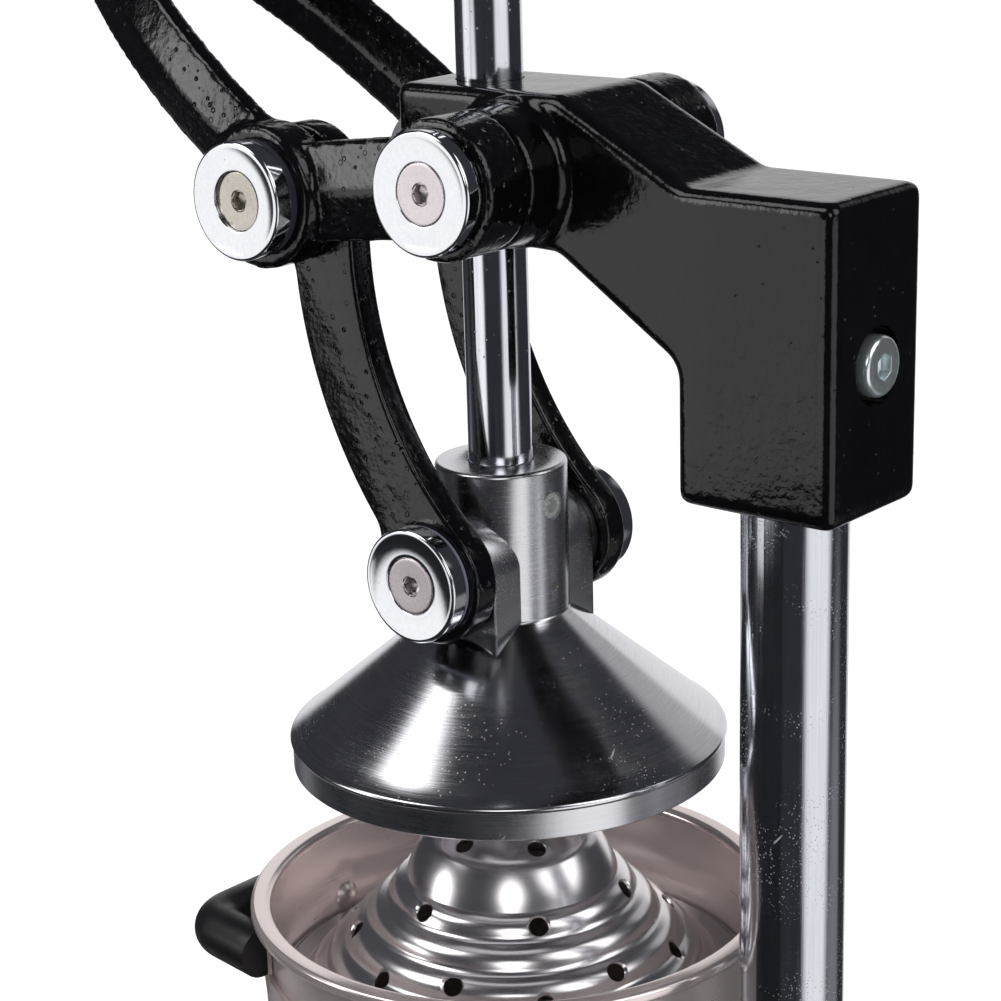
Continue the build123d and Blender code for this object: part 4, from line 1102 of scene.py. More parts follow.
RUBBER = Moulded(
    "rubber_black", "rubber", dark=(0.014, 0.014, 0.014), light=(0.022, 0.021, 0.020), rough=(0.6, 0.8))


# ---- head -----------------------------------------------------------------------------------
@dataclass
class Head:
    """Head casting on the column, with its bush and clamp screw. Sizes in millimetres."""

    front_half: float = 18.4
    rear_half: float = 20.3
    front_y: float = -17.8
    back_y: float = 121.0
    rise: float = 21.0
    drop: float = 18.5
    neck_top_y: float = 37.0
    neck_foot_y: float = 36.0
    neck_foot_drop: float = 1.0
    rear_front_y: float = 74.5
    rear_lean: float = 1.5
    rear_top: float = 1.2
    rear_drop: float = 79.6
    neck_join: float = 43.5
    crease: float = 8.0
    crease_steps: int = 8
    flare: Flat = (7.0, 85.0)
    edge: float = 3.0
    boss_d: float = 36.6
    boss_x: float = 32.6
    boss_root: float = 1.2
    column_y: float = 97.5
    clamp_below: float = 41.3
    recess_d: float = 20.0
    recess_depth: float = 3.0
    bush_bore: float = 22.1
    rod_bore: float = 18.6
    column_bore: float = 28.1
    column_in: float = 66.0
    lip: float = 7.5
    spare: float = 5.0
    screw_d: float = 15.5
    screw_height: float = 5.0
    screw_rim: float = 1.5
    socket: float = 6.0
    socket_depth: float = 3.0
    socket_edge: float = 0.15
    shank_d: float = 9.9
    shank_length: float = 12.0
    shank_in: float = 0.1

    def creased(self, corners: Sequence[Flat], chosen: set[int]) -> list[Flat]:
        """Round chosen corners of an outline.

        Args:
            corners: The outline.
            chosen: Indices of the corners to round.

        Returns:
            The outline with curves.
        """
        points = []
        for i, corner in enumerate(corners):
            if i not in chosen:
                points.append(corner)
                continue
            here = Vector(corner)
            before = (Vector(corners[i - 1]) - here).normalized()
            after = (Vector(corners[(i + 1) % len(corners)]) - here).normalized()
            half = math.acos(max(-1.0, min(1.0, before.dot(after)))) / 2
            reach = self.crease / math.tan(half)
            start, end = here + before * reach, here + after * reach
            for step in range(self.crease_steps + 1):
                share = step / self.crease_steps
                points.append(tuple(start * (1 - share) ** 2 + here * 2 * share * (1 - share)
                                    + end * share ** 2))
        return points

    def body(self, top: float, rear_foot: float) -> Mesh:
        """Block on the column, neck and guide block, wider towards the rear.

        Args:
            top: Height of the guide block's top.
            rear_foot: Height of the rear block's underside.

        Returns:
            The form, its edges rounded.
        """
        pivot_z = pivot("head_pivot_caps")[1]
        foot, rear_top = pivot_z - self.drop, pivot_z + self.rear_top
        side = [(self.front_y, top), (self.neck_top_y, top), (self.rear_front_y + self.rear_lean, rear_top),
                (self.back_y, rear_top), (self.back_y, rear_foot), (self.rear_front_y, rear_foot),
                (self.rear_front_y, pivot_z - self.neck_join),
                (self.neck_foot_y, foot - self.neck_foot_drop), (self.front_y, foot)]
        body = prism("head_casting_body", self.creased(side, {1, 2, 6, 7}), -self.rear_half, self.rear_half)
        plan = [(self.front_half, self.front_y - self.spare), (self.front_half, self.flare[0]),
                (self.rear_half, self.flare[1]), (self.rear_half, self.back_y + self.spare)]
        plan += [(-x, y) for x, y in reversed(plan)]
        cut(body, prism("tool", plan, rear_foot - self.spare, top + self.spare, Axis.Z), Combine.TRIM)
        soften(body, self.edge, 35.0, 4)
        return body

    def casting(self) -> Mesh:
        """Fuse the body with the two pivot bosses, then machine the bores.

        Returns:
            The casting.
        """
        pivot_y, pivot_z = pivot("head_pivot_caps")
        top, foot, rear_foot = pivot_z + self.rise, pivot_z - self.drop, pivot_z - self.rear_drop
        forms = [self.body(top, rear_foot)]
        for name, radius, half in (("boss", self.boss_d / 2, self.boss_x),
                                   ("root", self.boss_d / 2 + self.boss_root, self.rear_half)):
            forms.append(cylinder(name, radius, at(-half, pivot_y, pivot_z), 2 * half, Axis.X))
        piece = cast("head_casting_cast", forms, grain=0.9, passes=7)
        recess = at(0, self.back_y - self.recess_depth, pivot_z - self.clamp_below)
        bore(piece, cylinder("recess", self.recess_d / 2, recess, self.recess_depth + self.spare, Axis.Y, 64),
             cylinder("bush_bore", self.bush_bore / 2, at(0, 0, foot - self.spare),
                      top - foot + self.spare - self.lip, Axis.Z, 64),
             cylinder("column_bore", self.column_bore / 2, at(0, self.column_y, rear_foot - self.spare),
                      self.spare + self.column_in, Axis.Z, 96))
        bore(piece, cylinder("rod_bore", self.rod_bore / 2, at(0, 0, top - self.lip - self.spare),
                             self.lip + 2 * self.spare, Axis.Z, 64))
        return smooth(piece, 40.0)

    def clamp_screw(self) -> Mesh:
        """Low-head screw with a rounded rim and a hexagonal socket.

        Returns:
            The screw with its shank.
        """
        name, z = "head_clamp_screw_round", pivot("head_pivot_caps")[1] - self.clamp_below
        seat = self.back_y - self.recess_depth
        face = seat + self.screw_height
        screw = cylinder(name, self.screw_d / 2, at(0, seat, z), self.screw_height, Axis.Y, 96)
        round_rims(screw, lambda f: f.normal.y > FACING, self.screw_rim, 5)
        cut(screw, hexagon("tool", self.socket, at(0, face - self.socket_depth, z), self.spare, Axis.Y))
        soften(screw, self.socket_edge, 50.0, 2)
        shank = cylinder("shank", self.shank_d / 2, at(0, seat - self.shank_length, z),
                         self.shank_length + self.shank_in, Axis.Y, 48)
        return smooth(join(name, [screw, shank]), 40.0)

    def build(self) -> None:
        """Build and dress the head."""
        mount(self.casting(), Body.FRAME, PAINT, "head_casting")
        mount(self.clamp_screw(), Body.FRAME, CLAMP_CHROME, "head_clamp_screw")
        dress("guide_bush", BRONZE)
        dress("column", CHROME_COLUMN)


# ---- lever ----------------------------------------------------------------------------------
@dataclass
class Lever:
    """Forked lever casting with its grip sleeve. Sizes in millimetres."""

    crank: float = 66.2
    drop_deg: float = 6.8
    eye_d: float = 36.6
    eye_x: Flat = (32.9, 48.7)
    boss_d: float = 39.0
    boss_x: Flat = (34.3, 46.5)
    bar_x: float = 39.3
    ridge: float = 10.0
    bar_width: float = 26.5
    arm_width: float = 23.0
    rise_deg: float = 35.0
    arm_offset: float = 4.0
    arm_straight: float = 18.0
    arm_radius: float = 220.0
    arm_run: float = 142.0
    into_shank: float = 5.0
    shank_d: float = 20.0
    shank_length: float = 150.0
    shank_root: float = 18.0
    stud_bore: float = 16.1
    screw_bore: float = 8.5
    bore_x: Flat = (30.0, 52.0)
    grip_d: float = 31.0
    grip_length: float = 118.0
    grip_over: float = 7.0
    grip_waist: float = 2.5
    grip_lip: float = 1.6
    grip_clear: float = 0.05
    grip_room: float = 0.2
    grip_mouth: float = 1.0
    grip_swell: float = 0.9

    def ridged(self, name: str, start: Vector, towards: Vector, across: Vector, width: float,
               length: float) -> Mesh:
        """Six-sided bar with a ridge along the middle of each broad face.

        Args:
            name: Name of the bar.
            start: Middle of its first end, in millimetres.
            towards: Unit vector along it.
            across: Unit vector through its thickness.
            width: Its width.
            length: Its length.

        Returns:
            The bar.
        """
        corner = math.radians(30.0)
        bar = primitive(name, bpy.ops.mesh.primitive_cylinder_add, vertices=6, radius=1.0, depth=1.0)
        bar.data.transform(Matrix.Rotation(corner, 4, "Z"))
        wide = towards.cross(across)
        turn = Matrix((across * self.ridge / 2, wide * width / 2 / math.cos(corner),
                       towards * length)).transposed().to_4x4()
        centre = start + towards * length / 2
        bar.matrix_world = Matrix.Translation(at(*centre)) @ Matrix.Scale(MM, 4) @ turn
        return settle(bar, name)

    def arm_line(self) -> tuple[Vector, Vector, Vector]:
        """Crank's centre in millimetres, and unit vectors along the arm and up from it."""
        rise = math.radians(self.rise_deg)
        return (Vector((0.0, *pivot("crank_caps"))), Vector((0.0, -math.cos(rise), math.sin(rise))),
                Vector((0.0, math.sin(rise), math.cos(rise))))

    def half(self) -> list[Mesh]:
        """Model the forms of the +X side.

        Returns:
            Bar, eye, crank boss and bent arm.
        """
        head, drop, side = pivot("head_pivot_caps"), math.radians(self.drop_deg), Axis.X.line()
        bar = self.ridged("bar", Vector((self.bar_x, *head)),
                          Vector((0.0, -math.cos(drop), -math.sin(drop))), side, self.bar_width, self.crank)
        rounds = [cylinder(name, diameter / 2, at(low, *centre), high - low, Axis.X)
                  for name, diameter, (low, high), centre in (
                      ("eye", self.eye_d, self.eye_x, head),
                      ("boss", self.boss_d, self.boss_x, pivot("crank_caps")))]
        crank, along, up = self.arm_line()
        start = crank + side * self.bar_x + up * self.arm_offset
        arm = self.ridged("arm", start, along, side, self.arm_width, self.arm_straight)
        bend = math.asin((self.arm_run + self.into_shank - self.arm_straight) / self.arm_radius)
        hinge = start + along * self.arm_straight - side * self.arm_radius
        pick(arm, Element.FACE, lambda f: f.normal.dot(along) > FACING)
        bpy.ops.mesh.spin(steps=24, angle=-bend, center=at(*hinge), axis=along.cross(-side))
        done()
        tidy_normals(arm)
        return [bar, *rounds, arm]

    def casting(self) -> Mesh:
        """Fuse both halves with the shank and bore the eyes and bosses.

        Returns:
            The casting.
        """
        right = join("right_half", self.half())
        left = mirrored(right, "left_half")
        crank, along, up = self.arm_line()
        length = self.shank_root + self.shank_length
        centre = crank + along * self.arm_run + up * self.arm_offset + along * (length / 2 - self.shank_root)
        shank = rod("shank", self.shank_d / 2, at(*centre), along, length, 64)
        piece = cast("lever_casting_cast", [right, left, shank], grain=0.95, passes=6)
        near, far = self.bore_x
        bore(piece, *(cylinder("bore", diameter / 2, at(low, *pivot(node)), far - near, Axis.X, sides)
                      for low in (-far, near)
                      for node, diameter, sides in (("head_pivot_caps", self.stud_bore, 64),
                                                    ("crank_caps", self.screw_bore, 48))))
        return smooth(piece, 40.0)

    def grip(self) -> Mesh:
        """Turn the sleeve with a soft swell, a rolled front rim and a round end.

        Returns:
            The sleeve on the shank.
        """
        end, inside_end = self.shank_length + self.grip_over, self.shank_length + self.grip_room
        start, lip = end - self.grip_length, self.grip_lip
        radius, inside = self.grip_d / 2, self.shank_d / 2 + self.grip_clear
        waist = radius - self.grip_waist
        outline = [(inside, start + self.grip_mouth), (inside + self.grip_mouth, start), (waist - lip, start)]
        outline += rounded((waist, start), lip, -90, 0, 6)
        outline += bow((waist, start + lip), (radius, end - radius), self.grip_swell, 20)
        outline += arc((0.0, end - radius), radius, 0, 90, 20)[1:-1]
        outline += [(0.0, end), (0.0, inside_end), (inside, inside_end)]
        sleeve = lathe("lever_grip_sleeve", outline, (0.0, 0.0, 0.0), steps=96)
        crank, along, up = self.arm_line()
        origin = crank + along * self.arm_run + up * self.arm_offset
        turn = along.to_track_quat("Z", "Y").to_matrix().to_4x4()
        sleeve.matrix_world = Matrix.Translation(at(*origin)) @ turn
        return smooth(settle(sleeve, "lever_grip_sleeve"), 35.0)

    def build(self) -> None:
        """Build and dress the lever."""
        mount(self.casting(), Body.LEVER, PITTED_PAINT, "lever_casting")
        mount(self.grip(), Body.LEVER, PLASTIC, "lever_grip")


# ---- links ----------------------------------------------------------------------------------
@dataclass
class Links:
    """The two curved links between the crank and the press. Sizes in millimetres."""

    width: float = 22.0
    eye_d: float = 36.6
    hollow: float = 104.8
    fillet: float = 9.0
    edge: float = 1.2
    eye_shift: float = 3.2
    open_bore: float = 15.9
    bush_bore: float = 13.1
    past: float = 2.0

    def fillet_centre(self, end: Vector, other: Vector, centre: Vector) -> Vector:
        """Find the fillet between an eye and the band's outside.

        Args:
            end: Centre of the eye.
            other: Centre of the other eye.
            centre: Centre of the band's curve.

        Returns:
            Centre of the fillet.
        """
        gap, near = (end - centre).length, self.eye_d / 2 + self.fillet
        far = self.hollow + self.width + self.fillet
        forth = (far ** 2 - near ** 2 + gap ** 2) / (2 * gap)
        aside = math.sqrt(far ** 2 - forth ** 2)
        line = (end - centre) / gap
        normal = Vector((-line.y, line.x))
        if normal.dot(other - end) < 0:
            normal = -normal
        return centre + line * forth + normal * aside

    def sweep(self, centre: Vector, size: float, first: Vector, last: Vector, steps: int,
              long_way: bool = False) -> list[Flat]:
        """Draw an arc between two directions.

        Args:
            centre: Its centre.
            size: Its radius.
            first: Point towards which it starts.
            last: Point towards which it ends.
            steps: Number of its steps.
            long_way: Whether it runs round the far side.

        Returns:
            The points.
        """
        start, end = (math.atan2(p.y - centre.y, p.x - centre.x) for p in (first, last))
        turn = (end - start + math.pi) % math.tau - math.pi
        if long_way:
            turn -= math.copysign(math.tau, turn)
        return [(centre.x + size * math.cos(start + turn * i / steps),
                 centre.y + size * math.sin(start + turn * i / steps)) for i in range(steps + 1)]

    def outline(self, eye: Vector, foot: Vector) -> list[Flat]:
        """Draw two eyes, a band that is hollow on one side, and two fillets.

        Args:
            eye: Centre of the upper eye, as (y, z).
            foot: Centre of the lower eye.

        Returns:
            The corners as (y, z).
        """
        radius, span = self.eye_d / 2, (eye - foot).length
        reach = math.sqrt((self.hollow + radius) ** 2 - (span / 2) ** 2)
        along = (eye - foot) / span
        centre = (eye + foot) / 2 + Vector((along.y, -along.x)) * reach
        upper, lower = self.fillet_centre(eye, foot, centre), self.fillet_centre(foot, eye, centre)
        points = self.sweep(centre, self.hollow + self.width, upper, lower, 40)
        for stretch in ((lower, self.fillet, centre, foot, 8), (foot, radius, lower, centre, 48, True),
                        (centre, self.hollow, foot, eye, 40), (eye, radius, centre, upper, 48, True),
                        (upper, self.fillet, eye, centre, 8)):
            points += self.sweep(*stretch)[1:]
        return points[:-1]

    def link(self) -> Mesh:
        """Model the +X link, with rounded rims and its two bores.

        Returns:
            The link.
        """
        low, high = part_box("link_right")
        crank_y, crank_z = pivot("crank_caps")
        eye, foot = Vector((crank_y + self.eye_shift, crank_z)), Vector(pivot("press_pivot_bushes"))
        start, end = low[0] / MM, high[0] / MM
        piece = prism("link_right_bar", self.outline(eye, foot), start, end)
        round_rims(piece, lambda f: abs(f.normal.x) > FACING, self.edge, 4)
        bore(piece, *(cylinder("bore", diameter / 2, at(start - self.past, *centre),
                               end - start + 2 * self.past, Axis.X, 64)
                      for diameter, centre in ((self.open_bore, eye), (self.bush_bore, foot))))
        return smooth(piece, 30.0)

    def build(self) -> None:
        """Build and dress both links."""
        right = self.link()
        left = smooth(mirrored(right, "link_left_bar"), 30.0)
        mount(right, Body.RIGHT_LINK, PITTED_PAINT, "link_right")
        mount(left, Body.LEFT_LINK, PITTED_PAINT, "link_left")


# ---- pivot hardware -------------------------------------------------------------------------
@dataclass(frozen=True)
class PivotPair:
    """Cup washers and screws at the two ends of one pivot line. Sizes in millimetres."""

    name: str
    body: Body
    sink: float
    shank_end: float
    screw_finish: Metal


@dataclass
class Pivots:
    """Cup washers and countersunk screws of the three pairs of pivots. Sizes in millimetres."""

    cap_d: float = 32.0
    cap_thickness: float = 5.5
    dish: float = 0.5
    cap_edge: float = 0.9
    cap_foot: float = 0.3
    seat_edge: float = 0.25
    seat_slope: float = 0.85
    head_d: float = 16.0
    head_height: float = 3.8
    head_rim: float = 0.4
    head_edge: float = 0.35
    face_dish: tuple[Flat, ...] = ((0.0, -0.12), (3.3, -0.1))
    face_ring: float = 0.9
    mouth: tuple[Flat, ...] = ((0.0, 0.4), (3.35, 0.4), (2.75, -0.45), (0.0, -0.45))
    shank_d: float = 8.0
    point: float = 1.0
    socket: float = 5.0
    socket_depth: float = 2.6
    socket_tip: float = 0.9
    tip_share: float = 0.25
    clearance: float = 0.25
    pairs: tuple[PivotPair, ...] = (
        PivotPair("head_pivot", Body.FRAME, 0.5, 24.6, SCREW_STEEL),
        PivotPair("crank", Body.LEVER, 1.6, 15.5, SOCKET_STEEL),
        PivotPair("press_pivot", Body.PRESS, 0.5, 12.5, SCREW_STEEL),
    )

    def cap(self, node: str, sink: float) -> Mesh:
        """Pair of dished washers with a cone seat.

        Args:
            node: CAD node of the pair.
            sink: How far the screw's face lies below the washer's rim.

        Returns:
            Both washers as one piece.
        """
        outer, hole = self.cap_d / 2, self.shank_d / 2 + self.clearance
        seat, edge, soft = self.head_d / 2 + 0.05, self.cap_edge, self.seat_edge
        cone_top, back = -sink - self.head_rim, -self.cap_thickness
        outline = [(hole, cone_top - (seat - hole) * self.seat_slope), (seat, cone_top),
                   (seat, -self.dish - soft)]
        outline += rounded((seat, -self.dish), soft, 180, 90, 3)[1:]
        outline += bow((seat + soft, -self.dish), (outer - edge, 0.0), -0.12, 8)
        outline += rounded((outer, 0.0), edge, 90, 0, 6)[1:]
        outline += [(outer, back + self.cap_foot), (outer - self.cap_foot, back), (hole, back)]
        face = at(outer_x(node), *pivot(node))
        return paired(node + "_turned", lathe(node + "_turned", outline, face, Axis.X, 96), 28.0)

    def screw(self, node: str, shank_end: float) -> Mesh:
        """Pair of countersunk screws with hexagonal sockets.

        Args:
            node: CAD node of the pair.
            shank_end: Where the right shank ends, from the middle plane.

        Returns:
            Both screws as one piece.
        """
        inner = outer_x(node)
        length = inner - shank_end
        head, shank, edge = self.head_d / 2, self.shank_d / 2, self.head_edge
        outline = [*self.face_dish, (head - self.face_ring, 0.0)] + rounded((head, 0.0), edge, 90, 0, 4)
        outline += [(head, -edge - self.head_rim), (shank, -self.head_height - edge),
                    (shank, self.point - length), (shank - self.point, -length), (0.0, -length)]
        face = at(inner, *pivot(node))
        right = lathe(node + "_turned", outline, face, Axis.X, 72)
        cut(right, lathe("mouth", self.mouth, face, Axis.X, 48))
        socket = hexagon("socket", self.socket, at(inner - self.socket_depth, *pivot(node)), 4, Axis.X)
        pick(socket, Element.FACE, lambda f: f.normal.x < -FACING)
        extrude((-self.socket_tip * MM, 0.0, 0.0))
        bpy.ops.transform.resize(value=(1.0, self.tip_share, self.tip_share))
        done()
        tidy_normals(socket)
        cut(right, socket)
        return paired(node + "_turned", right, 26.0)

    def build(self) -> None:
        """Build and dress the three pairs of caps and of screws."""
        for pair in self.pairs:
            caps, screws = pair.name + "_caps", pair.name + "_screws"
            mount(self.cap(caps, pair.sink), pair.body, CAP_CHROME, caps)
            mount(self.screw(screws, pair.shank_end), pair.body, pair.screw_finish, screws)


# ---- press head -----------------------------------------------------------------------------
@dataclass
class Press:
    """Cone with its hub, ears, rim band and hollow. Sizes in millimetres."""

    hub_d: float = 37.0
    hub_above: float = 27.0
    hub_below: float = 16.3
    hub_edge: float = 1.2
    cone_d: float = 124.0
    cone_drop: float = 35.8
    band: float = 9.2
    band_edge: float = 0.4
    bead: float = 1.15
    bead_in: Flat = (0.5, 0.6)
    bead_below: float = 1.6
    root: float = 1.6
    root_rise: float = 1.3
    cone_start: Flat = (0.42, 0.22)
    cone_end: Flat = (1.0, 1.0)
    rim_width: float = 4.5
    wall: float = 6.0
    skirt_edge: float = 1.2
    skirt_in: Flat = (1.3, 0.9)
    roof_r: float = 20.0
    roof_slope: float = 6.0
    roof_rise: float = 1.5
    ear_x: float = 22.0
    ear_half: float = 15.0
    ear_foot: float = 16.0
    ear_edge: float = 0.7
    rod_d: float = 18.0
    rod_in: float = 42.0
    rod_room: float = 0.5
    rod_mouth: float = 0.8
    past: float = 1.5
    fit: float = 0.05
    screw_d: float = 8.0
    screw_x: Flat = (11.5, 23.0)
    set_screw_below: float = 10.8
    pin_below: float = 34.0
    pin_d: float = 3.0
    cross_y: float = 5.0
    cross_length: float = 20.0

    def body(self) -> Mesh:
        """Turn hub, cone, rim band with its bead, and the hollow, in one piece.

        Returns:
            The solid of revolution.
        """
        z = pivot("press_pivot_caps")[1]
        hub, cone, edge = self.hub_d / 2, self.cone_d / 2, self.band_edge
        top, shoulder = z + self.hub_above, z - self.hub_below
        band_top = shoulder - self.cone_drop
        foot = band_top - self.band
        slope = self.cone_drop / (cone - hub)
        inner = cone - self.rim_width
        skirt = band_top + self.rim_width * slope - self.wall
        roof = skirt + (inner - self.roof_r) * slope
        outline = [(0.0, top), (hub - self.hub_edge, top)]
        outline += rounded((hub, top), self.hub_edge, 90, 0, 6)[1:]
        outline += arc((hub + self.root, shoulder + self.root_rise), self.root, 180, 222, 5)
        outline += bow((hub + self.cone_start[0], shoulder + self.cone_start[1]),
                       (cone - self.cone_end[0], band_top + self.cone_end[1]), 0.0, 12)
        outline += arc((cone - self.bead_in[0], band_top - self.bead_in[1]), self.bead, 62, -38, 8)
        corner = (inner - self.skirt_in[0], skirt + self.skirt_in[1])
        outline += [(cone, band_top - self.bead_below), (cone, foot + edge), (cone - edge, foot),
                    (inner + edge, foot), (inner, foot + edge), (inner, skirt - self.skirt_edge), corner]
        outline += bow(corner, (self.roof_r, roof), 0.0, 10)
        outline += [(self.roof_r - self.roof_slope, roof + self.roof_rise), (0.0, roof + self.roof_rise)]
        return lathe("press_head_turned", outline, at(0, 0, 0), steps=160)

    def ear(self) -> Mesh:
        """Arched ear that runs through the hub to both sides.

        Returns:
            The ear, its rims rounded.
        """
        z = pivot("press_pivot_caps")[1]
        half, foot = self.ear_half, z - self.hub_below - self.ear_foot
        arch = arc((0.0, z), half, 0, 180, 36)
        ear = prism("ear", arch + [(-half, foot), (half, foot)], -self.ear_x, self.ear_x)
        round_rims(ear, lambda f: abs(f.normal.x) > FACING, self.ear_edge, 3)
        return ear

    def bores(self, piece: Mesh) -> None:
        """Bore the hub for its rod, the pivot screws, the set screw and the pin.

        Args:
            piece: The press head.
        """
        z = pivot("press_pivot_caps")[1]
        top, screw = z + self.hub_above, self.screw_d / 2 + self.fit
        cut(piece, cylinder("bore", self.rod_d / 2 + self.fit, at(0, 0, top - self.rod_in - self.rod_room),
                            self.rod_in + self.rod_room + self.past, Axis.Z, 96))
        reach = (self.rod_d / 2 + self.rod_mouth) * MM
        pick(piece, Element.EDGE, lambda ends: all(
            abs(p.z - top * MM) < WELD * MM and math.hypot(p.x, p.y - PRESS_AXIS[1]) < reach for p in ends))
        round_off(self.rod_mouth, 3)
        near, far = self.screw_x
        for low in (near, -far):
            cut(piece, cylinder("bore", screw, at(low, 0, z), far - near, Axis.X, 48))
        for radius, below, sides in ((screw, self.set_screw_below, 48), (self.pin_d / 2, self.pin_below, 32)):
            cut(piece, cylinder("bore", radius, at(0, self.cross_y, top - below), self.cross_length,
                                Axis.Y, sides))

    def build(self) -> None:
        """Build and dress the press head and finish what it carries."""
        piece = self.body()
        cut(piece, self.ear(), Combine.FUSE)
        self.bores(piece)
        mount(smooth(piece, 26.0), Body.PRESS, ALUMINIUM, "press_head")
        dress("press_rod", CHROME_ROD)
        dress("hub_set_screw", OILED_STEEL)


# ---- bowl set -------------------------------------------------------------------------------
@dataclass
class BowlSet:
    """Drawn bowl, stepped strainer and the bent side handle. Sizes in millimetres."""

    bowl_r: float = 72.0
    rim: float = 5.0
    roll: float = 2.6
    sheet: float = 1.2
    ledge_below: float = 29.5
    ledge: float = 4.0
    corner: float = 12.0
    under_ledge: float = 1.2
    over_ledge: float = 1.4
    under_rim: float = 0.9
    inside_rim: float = 0.4
    over_rim: float = 1.3
    throat: float = 1.9
    ledge_edge: float = 0.5
    ledge_root: float = 0.8
    mid_deg: float = -50.0
    rivet_spread: float = 42.0
    rivet_z_below: float = 24.5
    rivet_d: float = 5.1
    drill_x: float = 66.0
    drill_length: float = 12.0
    grip_spread: float = 12.0
    grip_d: float = 15.0
    grip_reach: float = 18.0
    grip_bend: float = 9.0
    grip_end: float = 5.0
    grip_spare: float = 4.0
    grip_edge: float = 1.0
    grip_below: float = 10.5
    wall_clear: float = 1.65
    strap_width: float = 12.0
    strap_sheet: float = 1.6
    strap_past: float = 12.0
    strap_gap: float = 0.05
    strap_edge: float = 0.3
    lug_sheet: float = 3.0
    lug_reach: float = 3.0
    lug_root: float = 0.3
    lug_lift: float = 1.5
    lug_flare: float = 0.8
    lug_tip: Flat = (4.0, 2.0)
    crown_r: float = 42.0
    crown_edge: float = 25.0
    flare: Point = (6.0, 12.0, 0.5)
    bands: int = 5
    band: Flat = (6.5, 6.9)
    bulge: float = 0.9
    groove: Flat = (0.3, -0.35)
    mesh_sheet: float = 1.0
    hole_d: float = 5.2
    hole_lip: tuple[Flat, ...] = ((0.0, -0.55), (0.12, -0.2), (0.45, 0.12), (0.9, 0.5))
    punch_reach: float = 4.0
    flange_gap: float = 1.0
    flange_edge: float = 0.3
    flange_root: tuple[Flat, ...] = ((-0.3, 0.35), (0.2, 0.06), (0.8, 0.0))
    holes: int = 6
    crown_rows: tuple[Flat, ...] = ((21.0, 0.0), (14.0, 38.0))
    row_lift: float = 0.35
    step_rows: tuple[Flat, ...] = ((34.3, -8.0), (46.5, 18.0), (49.6, -10.0))

    def levels(self) -> Flat:
        """Heights of the bowl's seat and rim, in millimetres."""
        low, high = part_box("bowl")
        return low[2] / MM, high[2] / MM

    def bowl(self) -> Mesh:
        """Spin the bowl with its rolled rim and soft shoulders, and drill it.

        Returns:
            The bowl.
        """
        seat, top = self.levels()
        out, foot, rim, t = self.bowl_r, self.bowl_r - self.ledge, self.bowl_r + self.rim, self.sheet
        ledge, roll = top - self.ledge_below, top - self.roll
        outline = [(0.0, seat)]
        for corner in (((foot, seat), self.corner, -90, 0, 10),
                       ((foot, ledge - t), self.under_ledge, 180, 90, 5),
                       ((out, ledge - t), self.over_ledge, -90, 0, 5),
                       ((out, top - t), self.under_rim, 180, 90, 4),
                       ((rim - t, top - t), self.inside_rim, 90, 0, 3)):
            outline += rounded(*corner)
        outline += arc((rim - t / 2, roll), t / 2, 180, 360, 6)
        for corner in (((rim, top), self.over_rim, 0, 90, 7),
                       ((out - t, top), self.throat, 90, 180, 8),
                       ((out - t, ledge), self.ledge_edge, 0, -90, 3),
                       ((foot - t, ledge), self.ledge_root, 90, 180, 4),
                       ((foot - t, seat + t), self.corner - t, 0, -90, 10)):
            outline += rounded(*corner)
        outline.append((0.0, seat + t))
        piece = lathe("bowl_drawn", outline, at(0, 0, 0), steps=192)
        self.drill(piece)
        return smooth(piece, 30.0)

    def drill(self, piece: Mesh) -> None:
        """Drill the two rivet holes through a piece.

        Args:
            piece: The bowl or the strap.
        """
        height = Matrix.Translation(at(0, 0, self.levels()[1] - self.rivet_z_below))
        for side in (-1, 1):
            turn = Matrix.Rotation(math.radians(self.mid_deg + side * self.rivet_spread), 4, "Z")
            tool = cylinder("drill", self.rivet_d / 2, (self.drill_x * MM, 0, 0), self.drill_length,
                            Axis.X, 40)
            tool.matrix_world = height @ turn
            cut(piece, settle(tool, "drill"))

    def strap(self) -> Mesh:
        """Bend a strap round the wall, with two tapered lugs that enter the grip's ends.

        Returns:
            The strap.
        """
        rivet_z = self.levels()[1] - self.rivet_z_below
        grip_z = self.levels()[1] - self.grip_below
        low, high = rivet_z - self.strap_width / 2, rivet_z + self.strap_width / 2
        inner, outer = self.bowl_r + self.strap_gap, self.bowl_r + self.strap_sheet
        piece = sector("bowl_strap_band", [(inner, low), (outer, low), (outer, high), (inner, high)],
                       self.mid_deg, 2 * self.rivet_spread + self.strap_past, 96)
        root, tip = self.bowl_r + self.lug_root, self.bowl_r + self.grip_end + self.lug_reach
        lug_low, tip_low, tip_high = low + self.lug_lift, grip_z - self.lug_tip[0], grip_z + self.lug_tip[1]
        lug = [(root, lug_low), (outer, lug_low), (outer + self.lug_flare, high), (tip, tip_low),
               (tip, tip_high), (root, tip_high)]
        sweep = math.degrees(self.lug_sheet / outer)
        for side in (-1, 1):
            cut(piece, sector("lug", lug, self.mid_deg + side * self.grip_spread, sweep, 4), Combine.FUSE)
        self.drill(piece)
        soften(piece, self.strap_edge, 40.0, 2)
        return smooth(piece, 35.0)

    def crown_fall(self, radius: float) -> float:
        """Height of the crown above its ball's centre, at a radius."""
        return math.sqrt(self.crown_r ** 2 - radius ** 2)

